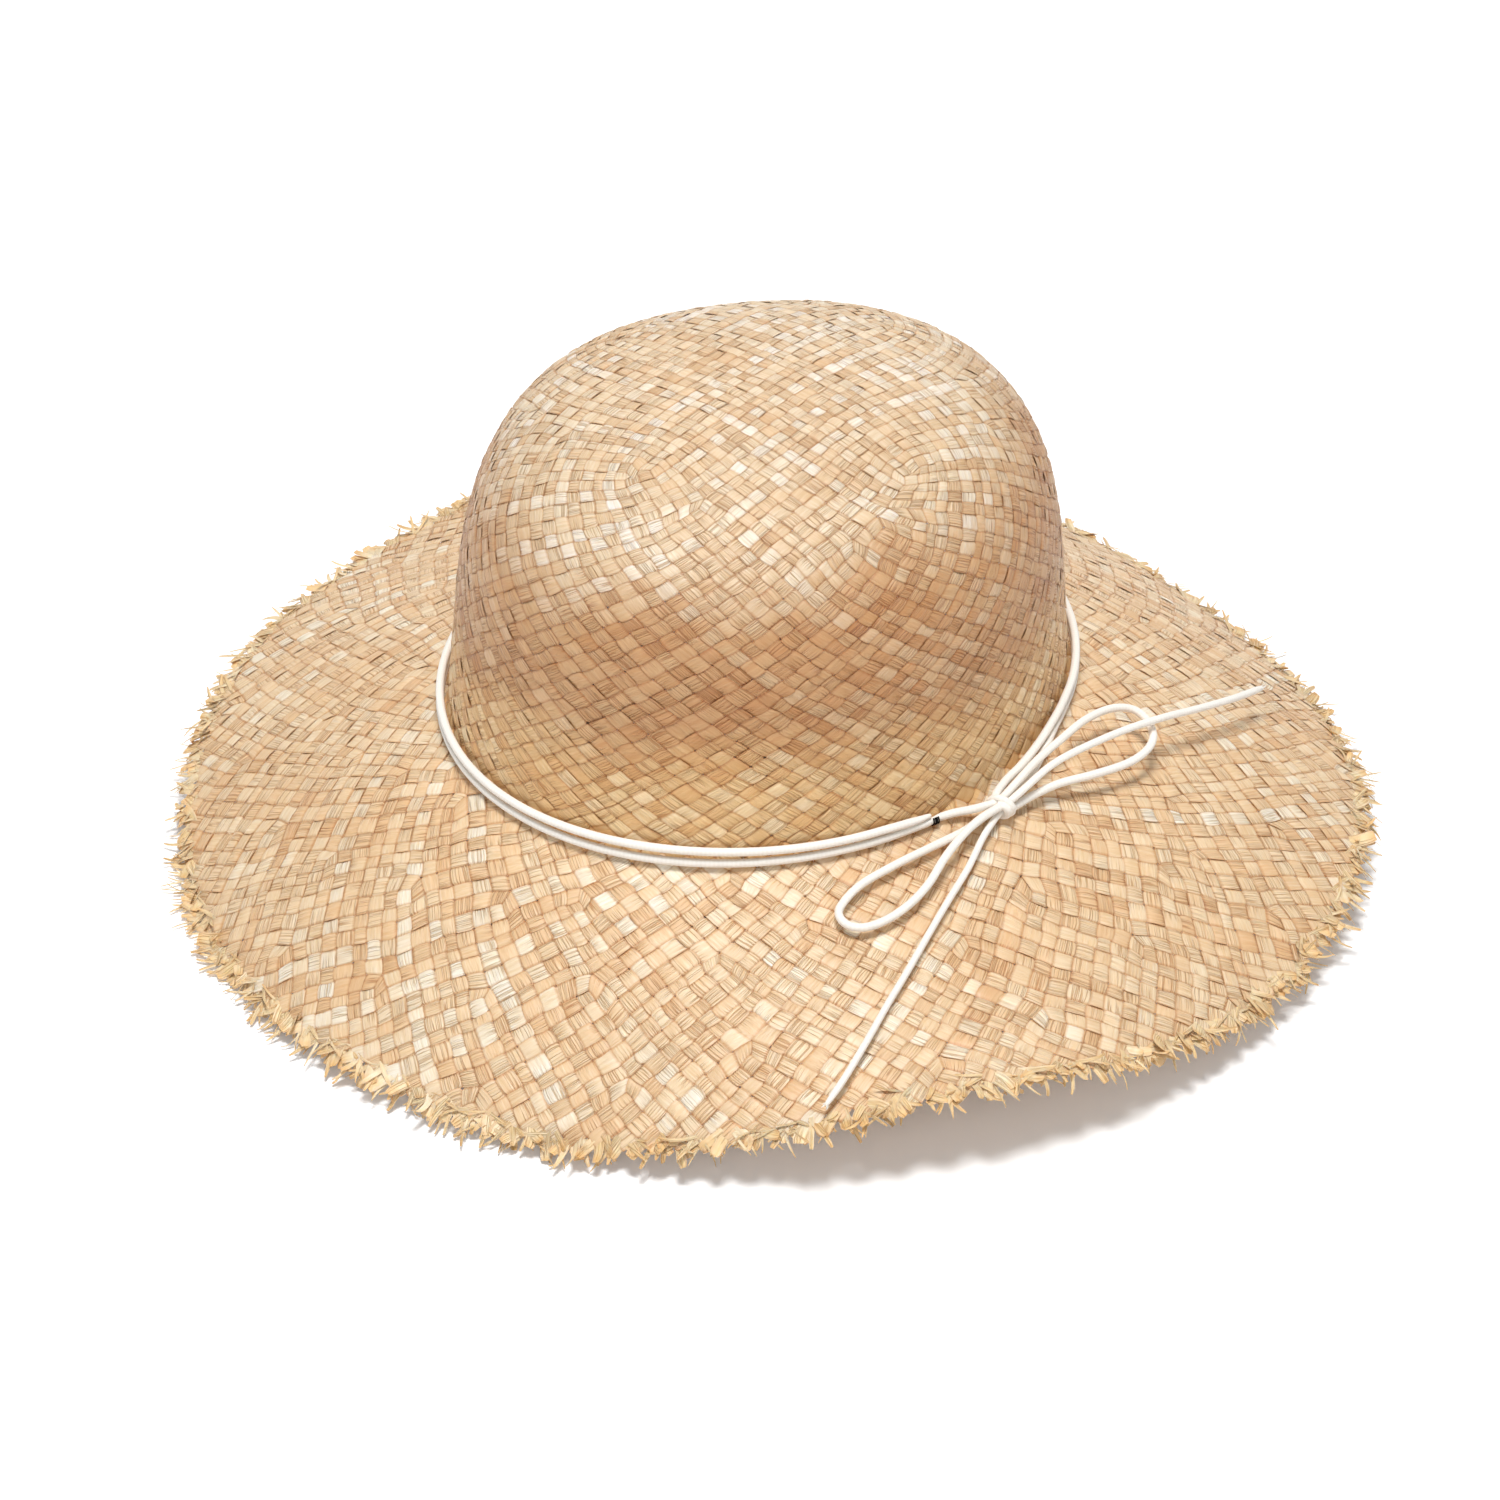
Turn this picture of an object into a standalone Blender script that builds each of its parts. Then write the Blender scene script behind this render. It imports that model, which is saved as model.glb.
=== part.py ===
"""Wide-brimmed woven raffia sun hat with a cord band tied in a bow.

Metres, +Z up. The hat rests on the low points of its wavy brim at z = 0, with the middle of its box
at x = y = 0. Shapes are worked out in the crown's own frame: the crown axis at x = y = 0 and the
head line, where crown meets brim, at z = 0. The parent empty then places that frame.
"""

import math
import random

import bmesh
import bpy
from mathutils import Vector

# Hood
WEAVE_THICKNESS = 0.0012
GAP = 0.0003

# Crown: an oval at the head line, leaning in and rounding over to a small flat tip
HEAD_HALF_LENGTH = 0.1010
HEAD_HALF_WIDTH = 0.0883
BACK_OF_HEAD = math.radians(60)
CROWN_HEIGHT = 0.103
SHOULDER_ROUND = 2.33
SHOULDER_SQUARE = 5.7
WALL_LEAN_IN = 0.067
TIP_SQUARENESS = 0.024
TIP_CORNER = math.radians(49.5)
TIP_SHIFT = (0.0014, -0.0060)
TIP_TILT = -0.040
TIP_EDGE_LEVEL = 86
CROWN_ROWS = 13
AROUND = 64

# Brim: falls away from the head line, with waves that grow towards its edge
BRIM_RADIUS = 0.1765
BRIM_CENTRE = (0.0038, 0.0014)
BRIM_FALL = 0.0387
BRIM_FLAT_MARGIN = 0.0010
BRIM_STATIONS = (0, 0.1, 0.24, 0.4, 0.55, 0.7, 0.85, 1)
BRIM_WAVES = (  # waves round the brim, height in metres, direction of a crest in degrees
    (1, 0.0036, 77),
    (2, 0.0098, 112),
    (3, 0.0013, 81),
    (4, 0.0024, 7),
    (5, 0.0026, 5.5),
    (6, 0.0021, 47),
)
BRIM_AROUND = 96

# Frayed edge
FRAY_COUNT = 104
FRAY_LENGTH = (0.0050, 0.0095)
FRAY_ROOT = 0.0016
FRAY_GAP = 0.0005
FRAY_THICKNESS = (0.0007, 0.0004)
FRAY_SPLAY = 20
FRAY_SLOPE = -0.12

# Sweatband: a ribbon inside the head opening, its ends lapped at the back of the head
SWEATBAND_HEIGHT = 0.024
SWEATBAND_FOOT = 0.0015
SWEATBAND_THICKNESS = 0.0008
SWEATBAND_INSET = 0.0006
SWEATBAND_LAP = 8
THREAD = 0.0005
SEAM_HEIGHT = 0.0045
SEAM_STEPS = 60

# Cord: two strands round the foot of the crown, tied in one bow
CORD = 0.0024
BAND_CLEARANCE = 0.0007
BAND_LOW = 0.0016
BAND_HIGH = 0.00435
BAND_FRONT_GAP = 0.0012
KNOT_AZIMUTH = -46
KNOT = Vector((0.0680, -0.0703, 0.0004))
KNOT_HEADING = math.radians(44)
KNOT_RADIUS = 0.0033
KNOT_HALF_LENGTH = 0.0024
STRAND_OFFSET = 0.00136
STRAND_START = 0.0028
LOWER_BAND_AT_KNOT = 0.0056
UPPER_BAND_AT_KNOT = 0.0014

# Degrees round the crown from the knot, clockwise from above: the band's cut end, the gap between
# its strands at the front, where it begins to rise to the knot, and where its points lie
UPPER_BAND_END = 12.9
BAND_FRONT_GAP_AT = 60
BAND_FRONT_GAP_REACH = 30
LEAVING_ENDS = 11
ARRIVING_STARTS = 330
LEAVING_TURNS = tuple(range(5, 17, 3))
ROUND_TURNS = tuple(range(28, 330, 12))
ARRIVING_TURNS = tuple(range(330, 355, 4))
CORD_POINT_SPACING = 0.0055

# Black thread tack that holds the band to the crown beside the knot
TACK_AZIMUTH = math.radians(-58)
TACK_WIDTH = 0.0020
TACK_THREAD = 0.0005

# Bow routes in millimetres, in the crown's frame, each leaving the knot
LOOP_RIGHT = (
    (73.4, -62.4, 3.9), (79.6, -52.6, 4.8), (86.7, -42.7, 5.0), (93.9, -32.4, 4.6),
    (101.7, -24.0, 2.9), (108.4, -20.6, 0.6), (112.7, -23.6, -1.3), (114.1, -30.0, -2.5),
    (111.9, -36.6, -3.0), (105.9, -44.1, -2.5), (96.0, -51.6, -1.2), (85.6, -57.6, -0.3),
    (78.2, -62.9, -0.5),
)
LOOP_LEFT = (
    (57.9, -80.2, -0.8), (47.6, -89.0, -0.7), (37.6, -96.8, -1.1), (28.2, -104.2, -2.4),
    (22.9, -110.6, -4.2), (21.7, -114.3, -5.7), (24.2, -117.2, -7.0), (29.2, -117.5, -7.5),
    (35.9, -114.1, -6.8), (42.1, -108.5, -5.4), (47.2, -101.8, -3.4), (51.3, -94.4, -0.8),
    (56.6, -86.0, 1.2), (61.8, -79.0, 2.0),
)
TAIL_BACK = (
    (75.6, -65.4, 3.9), (81.6, -58.6, 5.4), (87.0, -53.2, 5.8), (96.1, -45.0, 5.3), (106.8, -35.1, 3.6),
    (117.8, -24.8, 0.6), (129.1, -12.9, -4.2), (140.8, 1.6, -10.2), (150.5, 17.4, -17.0),
)
TAIL_FRONT = (
    (62.9, -81.4, -2.2), (58.2, -93.2, -4.7), (52.4, -105.0, -7.3), (46.4, -117.5, -10.2),
    (40.6, -129.6, -13.3), (34.8, -141.0, -16.4), (28.6, -153.5, -20.2), (22.5, -164.6, -24.1),
    (17.6, -171.8, -27.3),
)

HAT_AXIS = (-0.00417, -0.00073)  # from the middle of the hat's box to its crown axis


def smooth_step(value):
    value = min(max(value, 0.0), 1.0)
    return value * value * (3 - 2 * value)


def mix(start, end, part):
    return start + (end - start) * part


# ---- the hood's two surfaces


def head_radius(azimuth):
    turn = azimuth - BACK_OF_HEAD
    across = math.hypot(HEAD_HALF_WIDTH * math.cos(turn), HEAD_HALF_LENGTH * math.sin(turn))
    return HEAD_HALF_LENGTH * HEAD_HALF_WIDTH / across


def crown_point(azimuth, level):
    """A point of the crown's outside. level 0 is the head line and 1 the middle of the tip."""
    share = (1 - level**SHOULDER_SQUARE) ** (1 / SHOULDER_ROUND)
    corner = 1 + TIP_SQUARENESS * level * math.cos(4 * (azimuth - TIP_CORNER))
    radius = head_radius(azimuth) * share * (1 - WALL_LEAN_IN * level) * corner
    x = radius * math.cos(azimuth) + TIP_SHIFT[0] * level
    y = radius * math.sin(azimuth) + TIP_SHIFT[1] * level
    return Vector((x, y, CROWN_HEIGHT * level + TIP_TILT * x * level * share))


def edge_height(azimuth):
    waves = (h * math.cos(n * (azimuth - math.radians(crest))) for n, h, crest in BRIM_WAVES)
    return sum(waves) - BRIM_FALL


def edge_radius(azimuth):
    along = BRIM_CENTRE[0] * math.cos(azimuth) + BRIM_CENTRE[1] * math.sin(azimuth)
    across = BRIM_CENTRE[0] * math.sin(azimuth) - BRIM_CENTRE[1] * math.cos(azimuth)
    return along + math.sqrt(BRIM_RADIUS**2 - across**2)


def brim_point(azimuth, station):
    """A point of the brim's upper side. Station 0 is the flat margin at the crown and 1 the edge."""
    inner = head_radius(azimuth) + BRIM_FLAT_MARGIN
    radius = mix(inner, edge_radius(azimuth), station)
    fall = BRIM_FALL * (0.9 * station + 0.1 * station**2)
    wave = (edge_height(azimuth) + BRIM_FALL) * station**2
    return Vector((radius * math.cos(azimuth), radius * math.sin(azimuth), wave - fall - GAP))


def inside(surface, azimuth, level, depth, step=0.004):
    """The point depth behind a surface, along its normal."""
    low, high = max(level - step, 0.0), min(level + step, 1.0)
    around = surface(azimuth + step, level) - surface(azimuth - step, level)
    along = surface(azimuth, high) - surface(azimuth, low)
    return surface(azimuth, level) - depth * around.cross(along).normalized()


def under_brim(azimuth, station):
    """The brim's underside, whose normal runs down, so the outward direction is turned over."""
    point = brim_point(azimuth, station)
    lower = inside(brim_point, azimuth, station, WEAVE_THICKNESS)
    return lower if lower.z < point.z else 2 * point - lower


def azimuths(count):
    return [2 * math.pi * k / count for k in range(count)]


# ---- meshes


def mesh_object(name, bm, material, parent, smooth=True):
    bmesh.ops.recalc_face_normals(bm, faces=bm.faces)
    mesh = bpy.data.meshes.new(name)
    bm.to_mesh(mesh)
    bm.free()
    if smooth:
        mesh.shade_smooth()
        mesh.set_sharp_from_angle(angle=math.radians(40))
    obj = bpy.data.objects.new(name, mesh)
    obj.parent = parent
    obj.data.materials.append(material)
    bpy.context.scene.collection.objects.link(obj)
    return obj


def add_rings(bm, rings, closed):
    """Joins rings of points, each to the next, with quads. closed joins the last to the first."""
    rows = [[bm.verts.new(point) for point in ring] for ring in rings]
    count = len(rows[0])
    pairs = list(zip(rows, rows[1:])) + ([(rows[-1], rows[0])] if closed else [])
    for first, second in pairs:
        for k in range(count):
            after = (k + 1) % count
            bm.faces.new((first[k], first[after], second[after], second[k]))
    return rows


def add_section_strip(bm, sections):
    """Joins equal closed sections in order and caps both ends."""
    rows = add_rings(bm, sections, closed=False)
    bm.faces.new(reversed(rows[0]))
    bm.faces.new(rows[-1])


def make_crown(material, parent):
    angles = azimuths(AROUND)
    degrees = [TIP_EDGE_LEVEL * k / CROWN_ROWS for k in range(CROWN_ROWS + 1)]
    levels = [math.sin(math.radians(d)) for d in degrees]
    outer = [[crown_point(a, level) for a in angles] for level in levels]
    inner = [[inside(crown_point, a, level, WEAVE_THICKNESS) for a in angles] for level in levels]
    tip_height = sum(point.z for point in outer[-1]) / AROUND
    for ring, height in ((outer[-1], tip_height), (inner[-1], tip_height - WEAVE_THICKNESS)):
        for point in ring:
            point.z = height
    for point in inner[0]:
        point.z = 0.0
    bm = bmesh.new()
    rows = add_rings(bm, list(reversed(inner)) + outer, closed=False)
    bm.faces.new(rows[0])
    bm.faces.new(rows[-1])
    return mesh_object("crown", bm, material, parent)


def make_brim(material, parent):
    angles = azimuths(BRIM_AROUND)
    upper = [[brim_point(a, s) for a in angles] for s in BRIM_STATIONS]
    under = [[under_brim(a, s) for a in angles] for s in BRIM_STATIONS]
    heights = (-GAP, -GAP - WEAVE_THICKNESS)
    margins = []
    for height in heights:
        reach = [head_radius(a) - WEAVE_THICKNESS for a in angles]
        ring = [Vector((r * math.cos(a), r * math.sin(a), height)) for a, r in zip(angles, reach)]
        margins.append(ring)
    bm = bmesh.new()
    add_rings(bm, [margins[0]] + upper + list(reversed(under)) + [margins[1]], closed=True)
    return mesh_object("brim", bm, material, parent)


def make_frayed_edge(material, parent):
    """Cut strand ends beyond the last woven row: a thin ring with one tapering tooth for each end."""
    chance = random.Random(7)
    floor = lowest_brim_point() + GAP
    rings = [[], [], [], []]
    for k, azimuth in enumerate(azimuths(2 * FRAY_COUNT)):
        edge = mix(brim_point(azimuth, 1), under_brim(azimuth, 1), 0.5)
        is_tip = k % 2 == 1
        splay = math.radians(chance.uniform(-FRAY_SPLAY, FRAY_SPLAY)) if is_tip else 0
        slope = FRAY_SLOPE + chance.uniform(-0.1, 0.15)
        length = chance.uniform(*FRAY_LENGTH) if is_tip else FRAY_ROOT
        straight = Vector((math.cos(azimuth), math.sin(azimuth), 0))
        heading = Vector((math.cos(azimuth + splay), math.sin(azimuth + splay), slope))
        root = edge + straight * FRAY_GAP
        outer = root + heading * length
        half = (FRAY_THICKNESS[0] / 2, FRAY_THICKNESS[1] / 2)
        root.z = max(root.z, floor + half[0])
        outer.z = max(outer.z, floor + half[1])
        up = Vector((0, 0, 1))
        section = (root + up * half[0], outer + up * half[1], outer - up * half[1], root - up * half[0])
        for ring, point in zip(rings, section):
            ring.append(point)
    bm = bmesh.new()
    add_rings(bm, rings, closed=True)
    return mesh_object("frayed_edge", bm, material, parent, smooth=False)


def lining_point(azimuth, height, depth):
    """A point depth inside the crown's inner face."""
    level = height / CROWN_HEIGHT
    return inside(crown_point, azimuth, level, WEAVE_THICKNESS + depth)


def make_sweatband(material, parent):
    bm = bmesh.new()
    sections = []
    steps = 68
    for k in range(steps + 1):
        turn = mix(-SWEATBAND_LAP, 360 + SWEATBAND_LAP, k / steps)
        tuck = (SWEATBAND_THICKNESS + 2 * GAP) * smooth_step((turn - 332) / 16)
        azimuth = BACK_OF_HEAD + math.radians(turn)
        near = SWEATBAND_INSET + tuck
        far = near + SWEATBAND_THICKNESS
        foot, top = SWEATBAND_FOOT, SWEATBAND_FOOT + SWEATBAND_HEIGHT
        corners = ((foot, near), (top, near), (top, far), (foot, far))
        sections.append([lining_point(azimuth, height, depth) for height, depth in corners])
    add_section_strip(bm, sections)
    return mesh_object("sweatband", bm, material, parent)


def make_stitching(material, parent):
    """The seam thread on the sweatband's inner face, from one side of the lap to the other."""
    bm = bmesh.new()
    near = SWEATBAND_INSET + SWEATBAND_THICKNESS + GAP
    far = near + THREAD
    low, high = SEAM_HEIGHT, SEAM_HEIGHT + THREAD
    corners = ((low, near), (high, near), (high, far), (low, far))
    sections = []
    for k in range(SEAM_STEPS + 1):
        azimuth = BACK_OF_HEAD + math.radians(mix(14, 326, k / SEAM_STEPS))
        sections.append([lining_point(azimuth, height, depth) for height, depth in corners])
    add_section_strip(bm, sections)
    return mesh_object("sweatband_stitching", bm, material, parent, smooth=False)


# ---- cord


def catmull_rom(points, spacing):
    """Points about spacing apart on a smooth curve through the given ones."""
    ends = [2 * points[0] - points[1]] + points + [2 * points[-1] - points[-2]]
    curve = [points[0]]
    for before, start, end, after in zip(ends, ends[1:], ends[2:], ends[3:]):
        count = max(1, round((end - start).length / spacing))
        for k in range(1, count + 1):
            t = k / count
            curve.append(
                0.5
                * (
                    2 * start
                    + (end - before) * t
                    + (2 * before - 5 * start + 4 * end - after) * t**2
                    + (3 * start - before - 3 * end + after) * t**3
                )
            )
    return curve


def cord_object(name, points, material, parent):
    curve = bpy.data.curves.new(name, "CURVE")
    curve.dimensions = "3D"
    curve.bevel_depth = CORD / 2
    curve.bevel_resolution = 2
    curve.use_fill_caps = True
    spline = curve.splines.new("POLY")
    spline.points.add(len(points) - 1)
    for target, point in zip(spline.points, points):
        target.co = (*point, 1.0)
    curve.materials.append(material)
    obj = bpy.data.objects.new(name, curve)
    obj.parent = parent
    bpy.context.scene.collection.objects.link(obj)
    return obj


def knot_slot(side, outward, upward):
    """Where a strand leaves the knot: side 1 or -1, then its place in the bundle.

    outward is 1 or -1 for the four bow strands, and -3 for a strand behind them, at the crown.
    """
    along = Vector((math.cos(KNOT_HEADING), math.sin(KNOT_HEADING), 0))
    out = Vector((math.sin(KNOT_HEADING), -math.cos(KNOT_HEADING), 0))
    offset = out * (outward * STRAND_OFFSET) + Vector((0, 0, upward * STRAND_OFFSET))
    return KNOT + along * (side * STRAND_START) + offset


def band_point(turn, is_upper):
    """A strand of the band at turn degrees from the knot, clockwise from above."""
    azimuth = math.radians(KNOT_AZIMUTH - turn)
    arriving = smooth_step((turn - ARRIVING_STARTS) / (360 - ARRIVING_STARTS))
    if is_upper:
        gap = math.exp(-(((turn - BAND_FRONT_GAP_AT) / BAND_FRONT_GAP_REACH) ** 2)) * BAND_FRONT_GAP
        height = BAND_HIGH + gap
        height = mix(height, KNOT.z + STRAND_OFFSET, arriving)
        away = UPPER_BAND_AT_KNOT * arriving
    else:
        leaving = 1 - smooth_step(turn / LEAVING_ENDS)
        height = mix(BAND_LOW, KNOT.z + STRAND_OFFSET, leaving)
        height = mix(height, KNOT.z - STRAND_OFFSET, arriving)
        away = LOWER_BAND_AT_KNOT * (leaving + arriving)
    radius = head_radius(azimuth) + BAND_CLEARANCE + CORD / 2 + away
    return Vector((radius * math.cos(azimuth), radius * math.sin(azimuth), height))


def make_band(material, parent):
    """Two strands side by side. The upper one's cut end is tacked down short of the knot."""
    round_crown = ROUND_TURNS + ARRIVING_TURNS
    upper = [band_point(turn, True) for turn in (UPPER_BAND_END, 16) + round_crown]
    lower = [band_point(turn, False) for turn in LEAVING_TURNS + round_crown]
    cord_object("band_upper", upper + [knot_slot(1, -3, 1)], material, parent)
    cord_object("band_lower", [knot_slot(-1, -1, 1)] + lower + [knot_slot(1, -1, -1)], material, parent)


def make_bow(material, parent):
    routes = {
        "bow_loop_right": (knot_slot(1, -1, 1), LOOP_RIGHT, knot_slot(1, 1, -1)),
        "bow_loop_left": (knot_slot(-1, -1, -1), LOOP_LEFT, knot_slot(-1, 1, 1)),
        "bow_tail_back": (knot_slot(1, 1, 1), TAIL_BACK, None),
        "bow_tail_front": (knot_slot(-1, 1, -1), TAIL_FRONT, None),
    }
    for name, (start, route, end) in routes.items():
        points = [start] + [Vector(point) / 1000 for point in route] + ([end] if end else [])
        cord_object(name, catmull_rom(points, CORD_POINT_SPACING), material, parent)


def make_knot(material, parent):
    """The turn of cord that grips the bow, as a short barrel lying along the strands."""
    bm = bmesh.new()
    bmesh.ops.create_cone(bm, cap_ends=True, segments=20, radius1=KNOT_RADIUS, radius2=KNOT_RADIUS,
                          depth=2 * KNOT_HALF_LENGTH)
    rims = [edge for edge in bm.edges if abs(edge.verts[0].co.z - edge.verts[1].co.z) < GAP]
    bmesh.ops.bevel(bm, geom=rims, offset=KNOT_HALF_LENGTH / 3, segments=2, affect="EDGES")
    knot = mesh_object("bow_knot", bm, material, parent)
    knot.location = KNOT
    knot.rotation_euler = (0, math.pi / 2, KNOT_HEADING)
    return knot


def make_tack(material, parent):
    """A flat C of thread over the band's lower strand, from the crown round to the brim."""
    reach = CORD / 2 + GAP + TACK_THREAD / 2
    middle = BAND_CLEARANCE + CORD / 2
    angles = [math.radians(angle) for angle in range(110, -45, -22)]
    path = [(middle + reach * math.cos(a), BAND_LOW + reach * math.sin(a), a) for a in angles]
    half = TACK_THREAD / 2
    outer = [(r + half * math.cos(a), z + half * math.sin(a)) for r, z, a in path]
    inner = [(r - half * math.cos(a), z - half * math.sin(a)) for r, z, a in path]
    outline = outer + inner[::-1]
    azimuth = TACK_AZIMUTH
    base = head_radius(azimuth)
    across = Vector((-math.sin(azimuth), math.cos(azimuth), 0)) * (TACK_WIDTH / 2)
    out = Vector((math.cos(azimuth), math.sin(azimuth), 0))
    sections = [[out * (base + r) + Vector((0, 0, z)) + across * side for r, z in outline]
                for side in (-1, 1)]
    bm = bmesh.new()
    add_section_strip(bm, sections)
    return mesh_object("cord_tack", bm, material, parent, smooth=False)


# ---- scene


def make_material(name, colour, roughness):
    material = bpy.data.materials.new(name)
    material.use_nodes = True
    shader = material.node_tree.nodes["Principled BSDF"]
    shader.inputs["Base Color"].default_value = (*colour, 1)
    shader.inputs["Roughness"].default_value = roughness
    shader.inputs["Metallic"].default_value = 0
    material.diffuse_color = (*colour, 1)
    return material


def lowest_brim_point():
    """The height of the brim's lowest point, which touches the ground."""
    return min(under_brim(azimuth, 1).z for azimuth in azimuths(BRIM_AROUND))


def clear_scene():
    for obj in list(bpy.data.objects):
        bpy.data.objects.remove(obj)


def main():
    clear_scene()
    hat = bpy.data.objects.new("hat", None)
    hat.location = (*HAT_AXIS, -lowest_brim_point())
    bpy.context.scene.collection.objects.link(hat)
    crown_raffia = make_material("crown_raffia", (0.66, 0.46, 0.25), 0.55)
    brim_raffia = make_material("brim_raffia", (0.72, 0.53, 0.31), 0.55)
    frayed_raffia = make_material("frayed_raffia", (0.74, 0.50, 0.24), 0.6)
    cotton = make_material("cotton_cord", (0.83, 0.79, 0.72), 0.85)
    ribbon = make_material("sweatband_ribbon", (0.72, 0.62, 0.46), 0.8)
    pale_thread = make_material("pale_thread", (0.80, 0.74, 0.62), 0.8)
    black_thread = make_material("black_thread", (0.01, 0.01, 0.01), 0.7)
    make_crown(crown_raffia, hat)
    make_brim(brim_raffia, hat)
    make_frayed_edge(frayed_raffia, hat)
    make_sweatband(ribbon, hat)
    make_stitching(pale_thread, hat)
    make_band(cotton, hat)
    make_knot(cotton, hat)
    make_bow(cotton, hat)
    make_tack(black_thread, hat)


main()
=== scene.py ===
"""Looks of a woven raffia sun hat with a cord band and bow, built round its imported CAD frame.

Metres, +Z up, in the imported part's frame. Crown and brim are one hood of interlaced raffia
strands: a net of four-sided cells is laid over the hood, and each line of cells becomes a strand.
"""

import math

import bpy
import numpy as np
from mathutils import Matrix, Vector


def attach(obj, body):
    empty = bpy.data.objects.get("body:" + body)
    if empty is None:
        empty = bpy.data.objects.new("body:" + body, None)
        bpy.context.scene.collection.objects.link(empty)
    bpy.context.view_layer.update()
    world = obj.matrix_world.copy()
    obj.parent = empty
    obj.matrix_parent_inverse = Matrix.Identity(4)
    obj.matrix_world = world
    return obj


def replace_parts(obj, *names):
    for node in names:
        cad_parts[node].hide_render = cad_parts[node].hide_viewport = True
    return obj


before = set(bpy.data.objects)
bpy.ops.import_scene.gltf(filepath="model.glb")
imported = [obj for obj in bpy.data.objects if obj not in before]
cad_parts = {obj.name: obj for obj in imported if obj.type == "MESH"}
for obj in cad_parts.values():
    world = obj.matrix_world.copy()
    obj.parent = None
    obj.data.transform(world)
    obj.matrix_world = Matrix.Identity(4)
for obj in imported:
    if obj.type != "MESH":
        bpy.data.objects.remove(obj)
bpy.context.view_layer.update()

# The crown's frame: its axis, and the head line where crown meets brim
ORIGIN = np.array((-0.00417, -0.00073, 0.051724))

# Hood
WEAVE_THICKNESS = 0.0012
HEAD_HALF_LENGTH = 0.1010
HEAD_HALF_WIDTH = 0.0883
HEAD_AROUND = 2 * math.pi * (HEAD_HALF_LENGTH + HEAD_HALF_WIDTH) / 2
BACK_OF_HEAD = math.radians(60)
CROWN_HEIGHT = 0.103
SHOULDER_ROUND = 2.33
SHOULDER_SQUARE = 5.7
WALL_LEAN_IN = 0.067
TIP_SQUARENESS = 0.024
TIP_CORNER = math.radians(49.5)
TIP_SHIFT = (0.0014, -0.0060)
TIP_TILT = -0.040
BRIM_RADIUS = 0.1765
BRIM_CENTRE = (0.0038, 0.0014)
BRIM_FALL = 0.0387
BRIM_FALL_BEND = 0.1
BRIM_FLAT_MARGIN = 0.0010
BRIM_GAP = 0.0003
BRIM_WAVES = (
    (1, 0.0036, 77),
    (2, 0.0098, 112),
    (3, 0.0013, 81),
    (4, 0.0024, 7),
    (5, 0.0026, 5.5),
    (6, 0.0021, 47),
)

# Distances along the hood from the middle of the tip
CROWN_REACH = 0.168
BRIM_REACH = 0.0835
EDGE_REACH = CROWN_REACH + BRIM_REACH
FOLD_SOFTNESS = 0.0024
FOLD_FADES = 0.009
PROFILE_POINTS = 900
PROFILE_AZIMUTH = 0.3

# Net of cells
PITCH = 0.00425
STRAND_WIDTHS = 0.15
TIP_ROWS = 15
TIP_REACH = 0.050
HEAD_ROW = 58
ROWS = 84
WALL_COUNT = 74
WALL_GROWTH = 1.12
RELAX_ROUNDS = 260
WIDTH_PULL = 0.34
LENGTH_PULL = 0.08
LONGEST_STEP = 0.0012
EASE = 0.7
CORNER_JITTER = 0.00016

# Fringe
SLIVERS = 6
FLAPS = 2
SLIVER_STEPS = 7
FRINGE_ROOT = 0.0022
FLOOR_CLEARANCE = 0.0012

# Cord
CORD = 0.0024
BAND_CLEARANCE = 0.0007
BAND_LOW = 0.0016
BAND_HIGH = 0.00435
BAND_FRONT_GAP = 0.0012
KNOT_AZIMUTH = -46
KNOT = np.array((0.0680, -0.0703, 0.0004))
KNOT_HEADING = math.radians(44)
KNOT_ALONG = np.array((math.cos(KNOT_HEADING), math.sin(KNOT_HEADING), 0))
KNOT_OUT = np.array((math.sin(KNOT_HEADING), -math.cos(KNOT_HEADING), 0))
UP = np.array((0, 0, 1))
STRAND_OFFSET = 0.00136
STRAND_START = 0.0028
LOWER_BAND_AT_KNOT = 0.0056
UPPER_BAND_AT_KNOT = 0.0014
UPPER_END_SINKS = 0.0008
UPPER_END_TAPER = 0.007
UPPER_END_SHARE = 0.40
TAIL_END_TAPER = 0.005
TAIL_END_SHARE = 0.45
CORD_STEP = 0.0009

# Degrees round the crown from the knot, clockwise from above
UPPER_BAND_END = 12.9
BAND_FRONT_GAP_AT = 60
BAND_FRONT_GAP_REACH = 30
LEAVING_ENDS = 11
ARRIVING_STARTS = 330
LEAVING_TURNS = tuple(range(5, 17, 3))
ROUND_TURNS = tuple(range(22, 328, 6))
ARRIVING_TURNS = tuple(range(330, 355, 4))

# Black thread beside the knot
TACK_AZIMUTH = math.radians(-58)
TACK_THREAD = 0.00046
TACK_TURNS = 4
TACK_WIDTH = 0.0016
TACK_PULL = 0.22
TACK_PULL_REACH = 0.0018

# Sweatband, its lap at the back of the head, and its seam
SWEATBAND_HEIGHT = 0.024
SWEATBAND_FOOT = 0.0015
SWEATBAND_THICKNESS = 0.0008
SWEATBAND_INSET = 0.0006
SWEATBAND_LAP = 8
SWEATBAND_EASE = 0.0003
LAP_LIFTS_FROM = 332
LAP_LIFTS_OVER = 16
RIB_PITCH = 0.0013
RIB_DEPTH = 0.00012
STITCH_PITCH = 0.0034
STITCH_LENGTH = 0.0026
STITCH_THREAD = 0.00045
STITCH_SINKS = 0.00012
STITCH_BOW = 0.00034
SEAM_HEIGHT = 0.0045
SEAM_TURNS = (14, 326)

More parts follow.
